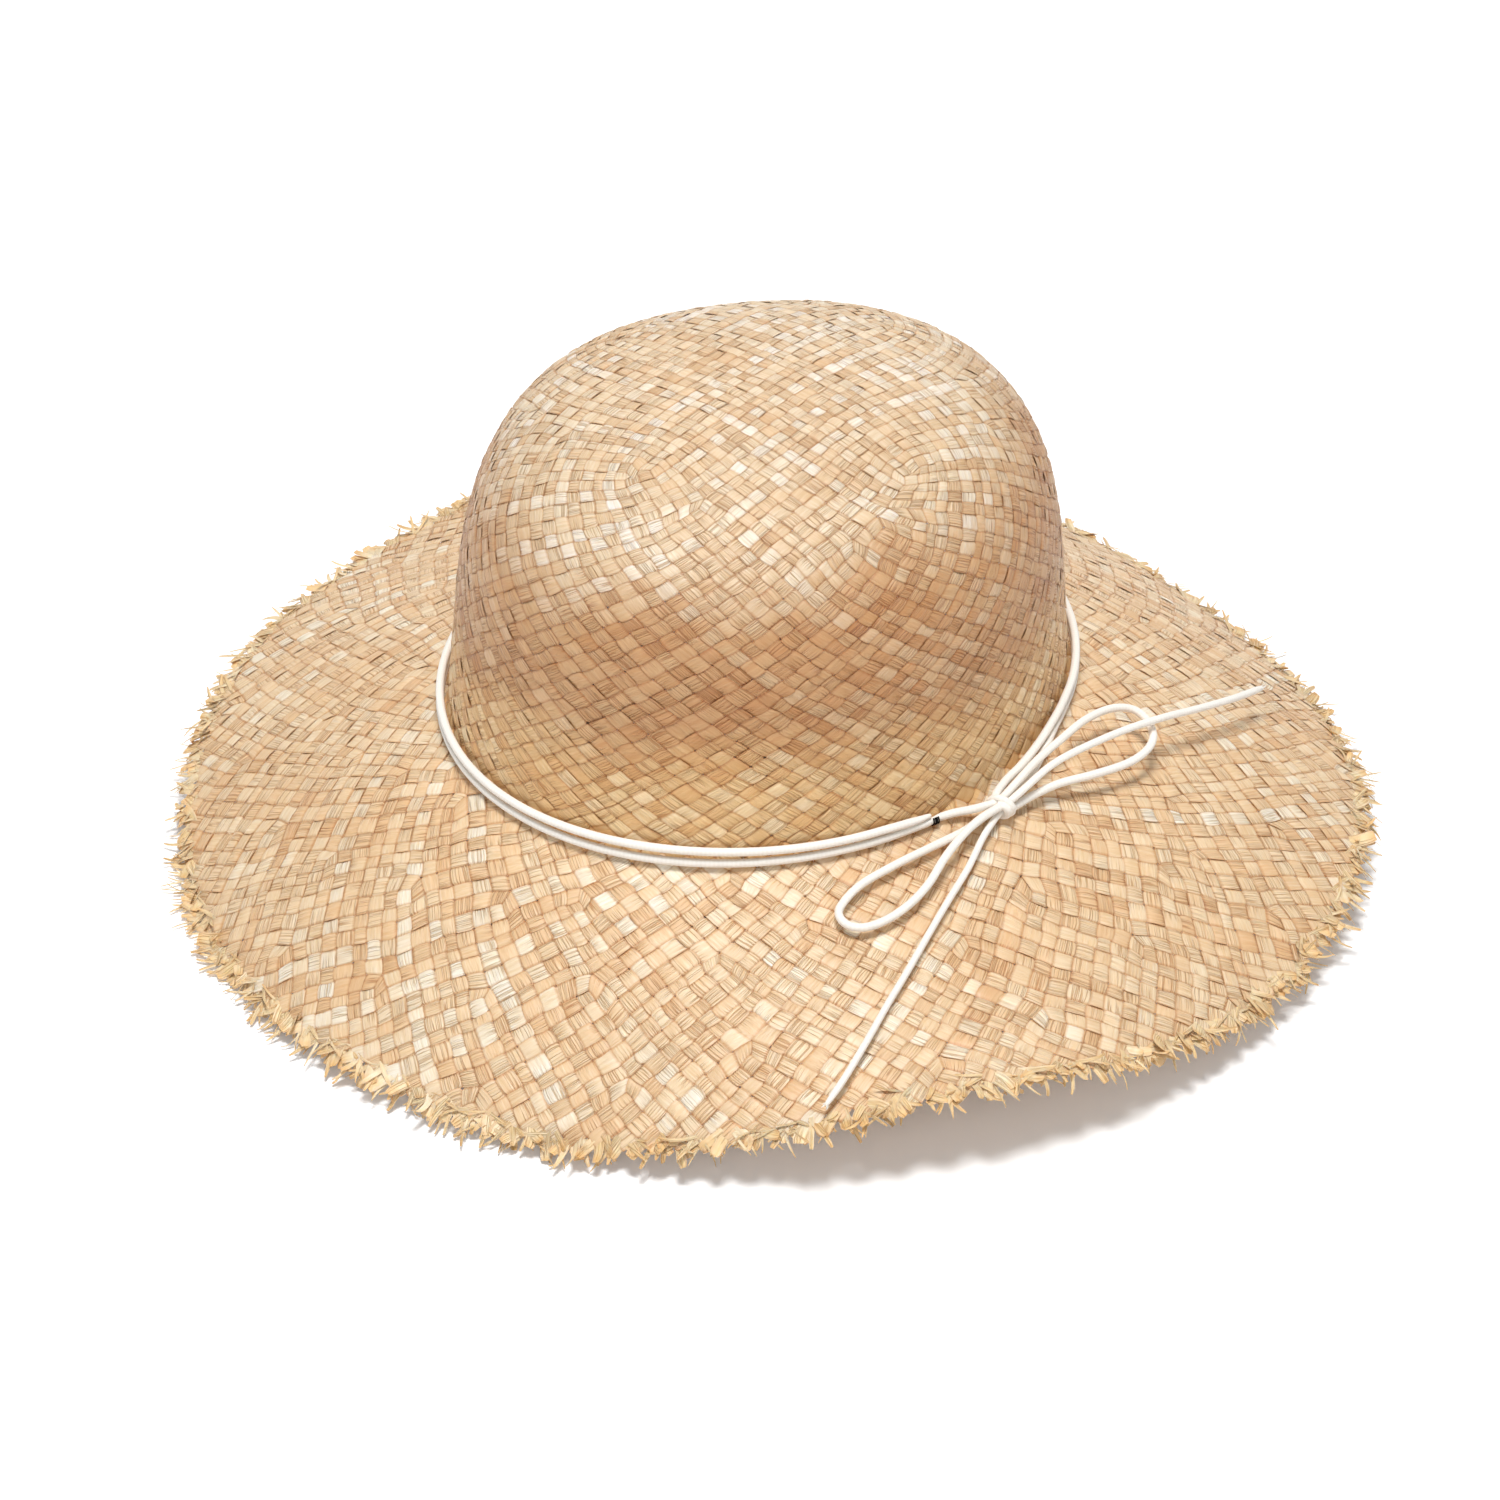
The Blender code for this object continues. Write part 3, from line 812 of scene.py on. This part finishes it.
def make_band(material):
    """Two strands side by side. The upper one's cut end stops at the black thread."""
    round_crown = ROUND_TURNS + ARRIVING_TURNS
    upper = [band_point(turn, True) for turn in (UPPER_BAND_END, 16) + round_crown]
    lower = [band_point(turn, False) for turn in LEAVING_TURNS + round_crown]
    line = smooth_route(upper + [knot_slot(1, -3, 1), knot_core(1, -2.4, 0.6)], CORD_STEP)
    radii = tapered(line, UPPER_END_TAPER, start=UPPER_END_SHARE)
    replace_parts(cord_piece("band_upper_strand", line, material, radii), "band_upper")
    first = [knot_core(-1, -1, 1), knot_slot(-1, -1, 1)]
    line = smooth_route(first + lower + [knot_slot(1, -1, -1), knot_core(1, -1, -1)], CORD_STEP)
    tack = np.array((math.cos(TACK_AZIMUTH), math.sin(TACK_AZIMUTH))) * head_radius(TACK_AZIMUTH)
    near = np.exp(-((np.linalg.norm(line[:, :2] - tack * 1.02, axis=1) / TACK_PULL_REACH) ** 2))
    radii = CORD / 2 * (1 - TACK_PULL * near)
    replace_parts(cord_piece("band_lower_strand", line, material, radii), "band_lower")


BOW = (  # piece, CAD node, strand places at the knot, route, thickness, far end
    ("bow_right_loop", "bow_loop_right", (1, -1, 1), LOOP_RIGHT, (1, 1, -1), 1.0, "object"),
    ("bow_left_loop", "bow_loop_left", (-1, -1, -1), LOOP_LEFT, (-1, 1, 1), 1.0, "object"),
    ("bow_back_tail", "bow_tail_back", (1, 1, 1), TAIL_BACK, None, 0.92, "bare"),
    ("bow_front_tail", "bow_tail_front", (-1, 1, -1), TAIL_FRONT, None, 0.82, "bare"),
)


def make_bow(material):
    for name, cad_node, start, route, end, share, far_end in BOW:
        points = [knot_core(*start), knot_slot(*start)] + list(np.array(route) * 1e-4)
        points += [knot_slot(*end), knot_core(*end)] if end else []
        line = smooth_route(points, CORD_STEP)
        last = 1.0 if end else TAIL_END_SHARE
        radii = tapered(line, TAIL_END_TAPER, end=last, thick=CORD * share)
        piece = cord_piece(name, line, material, radii)
        extra = [] if end else [make_cut_end(name + "_cut_yarns", line, material)]
        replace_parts(piece, cad_node)


def make_cut_end(name, line, material):
    """The few loose yarns at a cord's cut end."""
    chance = np.random.default_rng(len(name))
    ahead = unit(line[-1] - line[-3])
    steps = np.linspace(0, 1, 6)[:, None]
    yarns, along = [], []
    for _ in range(CUT_YARNS):
        aside = unit(np.cross(ahead, chance.normal(size=3)))
        long = chance.uniform(0.0014, 0.0026)
        start = line[-1] - ahead * 0.0012 + aside * 0.0002
        yarns.append(start + ahead * long * steps + aside * 0.0007 * steps**1.6)
        along.append(steps[:, 0] * long)
    radii = [mix(0.00022, 0.00010, steps[:, 0])] * CUT_YARNS
    return tubes(name, yarns, radii, 6, material, along)


def make_knot(material):
    """The turn of cord that grips the bow: a flattened wrap whose ends tuck in under it."""
    share = np.linspace(0, 1, 96)
    angle = 2 * math.pi * KNOT_TURNS * share - 2.4
    tuck = (smooth_step((share - 0.88) / 0.12) + smooth_step((0.12 - share) / 0.12)) * KNOT_TUCK
    slide = mix(0.0013, -0.0013, share) + 0.0010 * np.cos(angle + 0.5)
    line = (
        KNOT
        + KNOT_ALONG * slide[:, None]
        + KNOT_OUT * ((KNOT_HALF_WIDTH - tuck) * np.cos(angle))[:, None]
        + UP * ((KNOT_HALF_HEIGHT - tuck) * np.sin(angle))[:, None]
    )
    radii = KNOT_CORD / 2 * (1 + 0.10 * np.sin(angle * 2 + 0.8))
    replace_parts(cord_piece("knot_wrap", line, material, radii), "bow_knot")


def make_tack(material):
    """Turns of black thread over the band's lower strand, where the upper one ends."""
    reach = CORD / 2 * 0.86 + TACK_THREAD / 2
    middle = BAND_CLEARANCE + CORD / 2
    profile = [math.radians(angle) for angle in range(60, -91, -10)]
    base = head_radius(TACK_AZIMUTH)
    out = np.array((math.cos(TACK_AZIMUTH), math.sin(TACK_AZIMUTH), 0))
    across = np.array((-math.sin(TACK_AZIMUTH), math.cos(TACK_AZIMUTH), 0))
    chance = np.random.default_rng(3)
    lines = []
    for number in range(TACK_TURNS):
        slide = (number / (TACK_TURNS - 1) - 0.5) * TACK_WIDTH
        lean = chance.uniform(-0.0004, 0.0004)
        lay = reach + chance.uniform(0, 0.00010)
        line = [
            out * (base + middle + lay * math.cos(a))
            + UP * (BAND_LOW + lay * math.sin(a))
            + across * (slide + lean * k / len(profile))
            for k, a in enumerate(profile)
        ]
        lines.append(np.array(line))
    radii = [np.full(len(profile), TACK_THREAD / 2)] * TACK_TURNS
    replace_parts(tubes("black_tack", lines, radii, 8, material), "cord_tack")


# ---- sweatband


def lining_point(azimuth, height, depth):
    """Points depth inside the crown's inner face, at a height above the head line."""
    level = height / CROWN_HEIGHT
    step = 0.004
    low, high = np.maximum(level - step, 0), level + step
    around = crown_surface(azimuth + step, level) - crown_surface(azimuth - step, level)
    upward = crown_surface(azimuth, high) - crown_surface(azimuth, low)
    return crown_surface(azimuth, level) - unit(np.cross(around, upward)) * (WEAVE_THICKNESS + depth)[:, None]


def make_sweatband(material):
    """A ribbed ribbon stretched round the inside of the head opening, its ends lapped."""
    long = HEAD_AROUND * (360 + 2 * SWEATBAND_LAP) / 360
    ribs = round(long / RIB_PITCH)
    share = np.linspace(0, 1, ribs * 4 + 1)
    turn = mix(-SWEATBAND_LAP, 360 + SWEATBAND_LAP, share)
    tuck = SWEATBAND_THICKNESS + 2 * SWEATBAND_EASE
    tuck = tuck * smooth_step((turn - LAP_LIFTS_FROM) / LAP_LIFTS_OVER)
    azimuth = BACK_OF_HEAD + np.radians(turn)
    rib = (0.5 - 0.5 * np.cos(share * ribs * 2 * math.pi)) * RIB_DEPTH
    sway = 0.0003 * np.sin(azimuth * 7 + 0.4)
    rows = np.concatenate((np.linspace(0, 1, 7), np.linspace(1, 0, 7)))
    is_front = np.arange(14) < 7
    edge = np.where((rows == 0) | (rows == 1), 0.5, 0.0) * SWEATBAND_THICKNESS
    points = []
    for height_share, front, pinch in zip(rows, is_front, edge):
        height = SWEATBAND_FOOT + SWEATBAND_HEIGHT * height_share + sway
        depth = SWEATBAND_INSET + tuck + pinch * 0.6 + rib * 0.5
        if front:
            depth = SWEATBAND_INSET + tuck + SWEATBAND_THICKNESS - pinch * 0.6 - rib
        points.append(lining_point(azimuth, height, depth))
    points = np.stack(points, axis=1)
    length = run_length(points[:, 3])
    ribbon = mesh_piece(
        "sweatband_ribbon",
        points.reshape(-1, 3),
        skin(14, np.zeros(len(share), int)),
        material,
        {"along": np.repeat(length, 14), "up": np.tile(rows * SWEATBAND_HEIGHT, len(share))},
    )
    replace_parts(ribbon, "sweatband")


def make_stitches(material):
    """The seam along the sweatband's foot: one bowed stitch after another."""
    count = int(HEAD_AROUND * (SEAM_TURNS[1] - SEAM_TURNS[0]) / 360 / STITCH_PITCH)
    chance = np.random.default_rng(17)
    part = np.linspace(0, 1, 7)
    near = SWEATBAND_INSET + SWEATBAND_THICKNESS - STITCH_SINKS
    lines = []
    for number in range(count):
        turn = mix(*SEAM_TURNS, number / count) + part * STITCH_LENGTH / HEAD_AROUND * 360
        height = SEAM_HEIGHT + chance.normal(0, 0.00008) + part * chance.normal(0, 0.00010)
        depth = near + STITCH_BOW * np.sin(part * math.pi) ** 0.6
        lines.append(lining_point(BACK_OF_HEAD + np.radians(turn), height, depth))
    radii = [np.full(len(part), STITCH_THREAD / 2)] * count
    along = [part * STITCH_LENGTH] * count
    seam = tubes("sweatband_stitches", lines, radii, 6, material, along)
    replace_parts(seam, "sweatband_stitching")


# ---- materials


def wire(tree, made, inputs):
    """Links or sets a node's inputs."""
    for key, value in inputs.items():
        if isinstance(value, bpy.types.NodeSocket):
            tree.links.new(value, made.inputs[key])
        else:
            made.inputs[key].default_value = value
    return made


def new_material(name):
    material = bpy.data.materials.new(name)
    material.use_nodes = True
    tree = material.node_tree
    return material, tree, tree.nodes["Principled BSDF"]


def node(tree, kind, inputs=None, **settings):
    made = tree.nodes.new(kind)
    for key, value in settings.items():
        setattr(made, key, value)
    return wire(tree, made, inputs or {})


def calculate(tree, operation, *values):
    return node(tree, "ShaderNodeMath", dict(enumerate(values)), operation=operation).outputs[0]


def times(tree, first, second):
    return calculate(tree, "MULTIPLY", first, second)


def plus(tree, first, second):
    return calculate(tree, "ADD", first, second)


def minus(tree, first, second):
    return calculate(tree, "SUBTRACT", first, second)


def wave(tree, value):
    return calculate(tree, "SINE", value)


def attribute(tree, name):
    return node(tree, "ShaderNodeAttribute", attribute_name=name).outputs["Fac"]


def object_place(tree):
    return node(tree, "ShaderNodeTexCoord").outputs["Object"]


def combine(tree, x, y, z):
    return node(tree, "ShaderNodeCombineXYZ", {0: x, 1: y, 2: z}).outputs[0]


def noise(tree, vector, scale=1.0, detail=2.0, rough=0.5):
    inputs = {"Vector": vector, "Scale": scale, "Detail": detail, "Roughness": rough}
    return node(tree, "ShaderNodeTexNoise", inputs).outputs["Fac"]


def ramp(tree, value, stops):
    made = node(tree, "ShaderNodeValToRGB", {"Fac": value})
    while len(made.color_ramp.elements) < len(stops):
        made.color_ramp.elements.new(0.5)
    for element, (place, colour) in zip(made.color_ramp.elements, stops):
        element.position = place
        element.color = (*colour, 1)
    return made.outputs["Color"]


def spread(tree, value, low, high, to_low=0.0, to_high=1.0):
    inputs = {0: value, 1: low, 2: high, 3: to_low, 4: to_high}
    return node(tree, "ShaderNodeMapRange", inputs).outputs[0]


def blend(tree, part, first, second, kind="MIX"):
    """Two colours, mixed or, with kind MULTIPLY, the first tinted by the second, as far as part says."""
    made = node(tree, "ShaderNodeMix", data_type="RGBA", blend_type=kind)
    values = {0: part, 6: first, 7: second}
    colours = {key: (*value, 1) for key, value in values.items() if isinstance(value, tuple)}
    return wire(tree, made, values | colours).outputs[2]


def bump(tree, height, strength, distance):
    inputs = {"Height": height, "Strength": strength, "Distance": distance}
    return node(tree, "ShaderNodeBump", inputs).outputs[0]


# Raffia patterns: cycles per metre along a strand, lines across it, and tints for the fibre lines, splits and
# browned tips, and for the painted shade where strands dive and along their sides
SEED_SPACING = 211.0
DRIFT_RATE = 55.0
FIBRE_RATE, FIBRE_LINES = 130.0, 3.6
SPLIT_RATE, SPLIT_LINES = 32.0, 3.4
SPLIT_PLACES_RATE = 90.0
FIBRE_TINT = (0.90, 0.82, 0.72)
SPLIT_TINT = (0.62, 0.45, 0.30)
DIVE_PAINTED_SHADE = (0.72, 0.50, 0.32)
SIDE_PAINTED_SHADE = (0.86, 0.66, 0.48)
BROWNED_TINT = (0.88, 0.62, 0.38)


def raffia_material(name, stops, is_fringe=False, paints_shade_by_height=False):
    """Raffia: each strand its own straw colour, drifting along it, with fibre lines and splits; on the weave,
    painted shade where strands dive and along their sides, and on the crown, painted shade and sheen by
    height.
    """
    material, tree, shader = new_material(name)
    along, across = attribute(tree, "along"), attribute(tree, "across")
    lane = times(tree, attribute(tree, "seed"), SEED_SPACING)
    place = object_place(tree)
    drift = noise(tree, combine(tree, times(tree, along, DRIFT_RATE), lane, 0.0), detail=1.0)
    patch = noise(tree, place, scale=26.0)
    level = plus(tree, times(tree, attribute(tree, "tone"), 0.46), times(tree, drift, 0.80))
    level = plus(tree, level, times(tree, patch, 0.35))
    colour = ramp(tree, minus(tree, level, 0.30), stops)
    fibre = combine(tree, times(tree, along, FIBRE_RATE), times(tree, across, FIBRE_LINES), lane)
    fibre = noise(tree, fibre, detail=3.0, rough=0.6)
    colour = blend(tree, spread(tree, fibre, 0.35, 0.68, 1.0, 0.0), colour, FIBRE_TINT, "MULTIPLY")
    # splits follow the middle value of a stretched noise, here and there
    split = times(tree, along, SPLIT_RATE), times(tree, across, SPLIT_LINES), plus(tree, lane, 7.3)
    split = noise(tree, combine(tree, *split), detail=1.5)
    split = calculate(tree, "ABSOLUTE", minus(tree, split, 0.5))
    split = spread(tree, split, 0.010, 0.045, 1.0, 0.0)
    where = combine(tree, times(tree, along, SPLIT_PLACES_RATE), plus(tree, lane, 3.1), 0.0)
    where = noise(tree, where, detail=0.0)
    split = times(tree, split, spread(tree, where, 0.36, 0.54))
    colour = blend(tree, times(tree, split, 0.75), colour, SPLIT_TINT, "MULTIPLY")
    if is_fringe:
        browned = plus(tree, attribute(tree, "tip"), times(tree, drift, 0.8))
        browned = spread(tree, browned, 0.95, 1.5, 0.0, 0.8)
        colour = blend(tree, browned, colour, BROWNED_TINT, "MULTIPLY")
    else:
        # painted shade: each strand browner where it dives under the next
        dive = spread(tree, attribute(tree, "free"), 0.0, 0.78, 0.80, 0.0)
        colour = blend(tree, dive, colour, DIVE_PAINTED_SHADE, "MULTIPLY")
        # painted shade along each strand's sides, where it meets its neighbours
        side = spread(tree, calculate(tree, "ABSOLUTE", across), 0.80, 1.0, 0.0, 0.75)
        colour = blend(tree, side, colour, SIDE_PAINTED_SHADE, "MULTIPLY")
    # painted shade and sheen by height up the crown: darker mid walls, a paler tip and a brighter foot
    if paints_shade_by_height:
        height = node(tree, "ShaderNodeSeparateXYZ", {0: place}).outputs["Z"]
        height = spread(tree, height, ORIGIN[2], ORIGIN[2] + CROWN_HEIGHT)
        height = plus(tree, height, times(tree, minus(tree, patch, 0.5), 0.2))
        colour = blend(tree, 1.0, colour, ramp(tree, height, CROWN_PAINTED_SHADE_AND_SHEEN), "MULTIPLY")
    relief = minus(tree, fibre, times(tree, split, 0.8))
    looks = {
        "Base Color": colour,
        "Roughness": spread(tree, fibre, 0.3, 0.7, 0.56, 0.40),
        "Specular IOR Level": 0.60,
        "Subsurface Weight": 0.25,
        "Subsurface Radius": (1.0, 0.6, 0.35),
        "Subsurface Scale": 0.0014,
        "Normal": bump(tree, relief, 0.7, 0.00040),
    }
    wire(tree, shader, looks)
    return material


BRAID_RATE = 2600.0
BRAID_YARNS = 4.0
WARP_PITCH = 0.00045


def cotton_material(name, colour):
    """Braided cotton: crossing diagonal yarns, a soft nap, and painted shade that leaves the braid's crests
    paler than the hollows between yarns.
    """
    material, tree, shader = new_material(name)
    turn = calculate(tree, "ARCTAN2", attribute(tree, "turn_y"), attribute(tree, "turn_x"))
    run = times(tree, attribute(tree, "along"), BRAID_RATE)
    wide = times(tree, turn, BRAID_YARNS)
    braid = times(tree, wave(tree, plus(tree, run, wide)), wave(tree, minus(tree, run, wide)))
    nap = noise(tree, object_place(tree), scale=2600.0, detail=3.0)
    height = plus(tree, times(tree, braid, 0.5), times(tree, nap, 0.7))
    # painted shade: darker in the braid's hollows and paler on its crests, mottled at random by the nap
    part = spread(tree, plus(tree, braid, nap), -0.4, 1.3)
    dark = tuple(c * k for c, k in zip(colour, (0.95, 0.94, 0.92)))
    looks = {
        "Base Color": blend(tree, part, dark, colour),
        "Roughness": 0.85,
        "Specular IOR Level": 0.25,
        "Sheen Weight": 0.15,
        "Normal": bump(tree, height, 0.22, 0.00010),
    }
    wire(tree, shader, looks)
    return material


def ribbon_material(name, colour):
    """Grosgrain ribbon: the weft ribs are in the mesh; warp threads, with painted shade in the grooves
    between them, and a soft mottle are here.
    """
    material, tree, shader = new_material(name)
    warp = wave(tree, times(tree, attribute(tree, "up"), 2 * math.pi / WARP_PITCH))
    weft = wave(tree, times(tree, attribute(tree, "along"), 2 * math.pi / RIB_PITCH))
    place = object_place(tree)
    mottle = noise(tree, place, scale=120.0, detail=3.0)
    nap = noise(tree, place, scale=3000.0)
    # painted shade in the grooves between warp threads, with stripes at the rib pitch and a random mottle
    part = plus(tree, plus(tree, times(tree, warp, 0.12), times(tree, weft, 0.10)), mottle)
    dark = tuple(c * k for c, k in zip(colour, (0.80, 0.76, 0.70)))
    looks = {
        "Base Color": blend(tree, spread(tree, part, 0.2, 0.8), dark, colour),
        "Roughness": 0.8,
        "Specular IOR Level": 0.3,
        "Sheen Weight": 0.12,
        "Normal": bump(tree, plus(tree, times(tree, warp, 0.5), nap), 0.35, 0.00008),
    }
    wire(tree, shader, looks)
    return material


def thread_material(name):
    material, tree, shader = new_material(name)
    looks = {"Base Color": (0.004, 0.004, 0.004, 1), "Roughness": 0.8, "Specular IOR Level": 0.15}
    wire(tree, shader, looks)
    return material


CROWN_STRAW = (
    (0.00, (0.62, 0.385, 0.19)),
    (0.25, (0.74, 0.53, 0.31)),
    (0.55, (0.81, 0.65, 0.435)),
    (0.80, (0.86, 0.75, 0.56)),
    (1.00, (0.91, 0.84, 0.70)),
)
CROWN_PAINTED_SHADE_AND_SHEEN = (  # by height up the crown: painted sheen on the tip, painted shade on the mid walls, and painted light bounced off the brim on the foot
    (0.00, (1.09, 0.89, 0.68)),
    (0.22, (1.07, 0.87, 0.66)),
    (0.42, (0.73, 0.51, 0.36)),
    (0.68, (0.73, 0.52, 0.38)),
    (0.86, (0.94, 0.895, 0.93)),
)
BRIM_STRAW = (
    (0.00, (0.66, 0.375, 0.185)),
    (0.25, (0.77, 0.50, 0.29)),
    (0.55, (0.83, 0.595, 0.38)),
    (0.80, (0.87, 0.68, 0.48)),
    (1.00, (0.93, 0.82, 0.67)),
)
FRAYED = (
    (0.00, (0.76, 0.44, 0.18)),
    (0.30, (0.86, 0.60, 0.31)),
    (0.65, (0.91, 0.73, 0.46)),
    (1.00, (0.94, 0.83, 0.63)),
)


# ---- floor, lights, camera

WORLD_STRENGTH = 0.34
FLOOR_GLOW = 0.12
LIGHTS = (  # name, place, what it points at, width, watts
    ("overhead", (0.0, -0.36, 1.87), (0, 0, 0.03), 0.6, 32),
    ("back_sheen", (0.1, 1.6, 1.15), (0, 0, 0.05), 1.6, 8),
    ("front_fill", (-0.2, -1.9, 1.0), (0, 0, 0.03), 1.4, 8),
)
CAMERA_ELEVATION = math.radians(34)
CAMERA_AWAY = 1.5
CAMERA_TARGET = (-0.0029, 0.0, -0.0277)
CAMERA_SENSOR = 36
FRAME_WIDTH = 0.000298 * 1500  # metres at the target: the size of a pixel of the 1500


def make_stage():
    bpy.ops.mesh.primitive_plane_add(size=8)
    floor = bpy.context.object
    floor.name = "floor"
    material, tree, shader = new_material("pale_floor")
    away = node(tree, "ShaderNodeVectorMath", {0: object_place(tree)}, operation="LENGTH")
    looks = {
        "Base Color": (0.93, 0.93, 0.93, 1),
        "Roughness": 0.9,
        "Specular IOR Level": 0.1,
        "Emission Color": (1, 0.985, 0.97, 1),
        # no glow under the hat
        "Emission Strength": spread(tree, away.outputs["Value"], 0.10, 0.16, 0.0, FLOOR_GLOW),
    }
    wire(tree, shader, looks)
    floor.data.materials.append(material)
    world = bpy.data.worlds.new("studio")
    bpy.context.scene.world = world
    world.use_nodes = True
    background = world.node_tree.nodes["Background"]
    wire(world.node_tree, background, {"Color": (1, 1, 1, 1), "Strength": WORLD_STRENGTH})
    for light in LIGHTS:
        add_light(*light)


def add_light(name, place, aim, size, power):
    light = bpy.data.lights.new(name, "AREA")
    light.shape = "DISK"
    light.size = size
    light.energy = power
    obj = bpy.data.objects.new(name, light)
    obj.location = place
    obj.rotation_euler = (Vector(aim) - Vector(place)).to_track_quat("-Z", "Y").to_euler()
    COLLECTION.objects.link(obj)


def make_camera():
    toward = np.array((0, -math.cos(CAMERA_ELEVATION), math.sin(CAMERA_ELEVATION)))
    camera = bpy.data.cameras.new("camera")
    camera.sensor_width = CAMERA_SENSOR
    camera.lens = CAMERA_SENSOR * CAMERA_AWAY / FRAME_WIDTH
    obj = bpy.data.objects.new("camera", camera)
    obj.location = np.array(CAMERA_TARGET) + ORIGIN + CAMERA_AWAY * toward
    obj.rotation_euler = (math.pi / 2 - CAMERA_ELEVATION, 0, 0)
    COLLECTION.objects.link(obj)
    bpy.context.scene.camera = obj


def main():
    make_camera()
    make_stage()
    bpy.context.scene.view_settings.view_transform = "Standard"
    cotton = cotton_material("cotton", (0.85, 0.82, 0.765))
    make_band(cotton)
    make_bow(cotton)
    make_knot(cotton)
    make_tack(thread_material("black_thread"))
    make_sweatband(ribbon_material("grosgrain", (0.78, 0.68, 0.52)))
    make_stitches(cotton_material("seam_thread", (0.84, 0.78, 0.66)))
    straw = raffia_material("crown_raffia_with_painted_shade", CROWN_STRAW, paints_shade_by_height=True)
    straw_brim = raffia_material("brim_raffia_with_painted_shade", BRIM_STRAW)
    frayed = raffia_material("frayed_raffia_ends", FRAYED, is_fringe=True)
    members, wide_rows, cells, row_of, edges = make_net()
    strands = strands_of(cells)
    wanted = wanted_widths(edges, strands, row_of)
    flat = relax(first_places(members, wide_rows), edges, wanted, members[-1], RELAX_ROUNDS)
    chance = np.random.default_rng(2)
    flat[1:] += chance.normal(0, CORNER_JITTER, (len(flat) - 1, 2))
    east, north = tangents(flat)
    up = unit(np.cross(east, north))
    corners = hood(flat) - up * (WEAVE_THICKNESS / 2)
    reach = np.hypot(flat[:, 0], flat[:, 1])
    tone, seed = make_weave(strands, corners, up, reach, straw, straw_brim)
    make_fringe(strands, corners, up, tone, seed, frayed)


main()
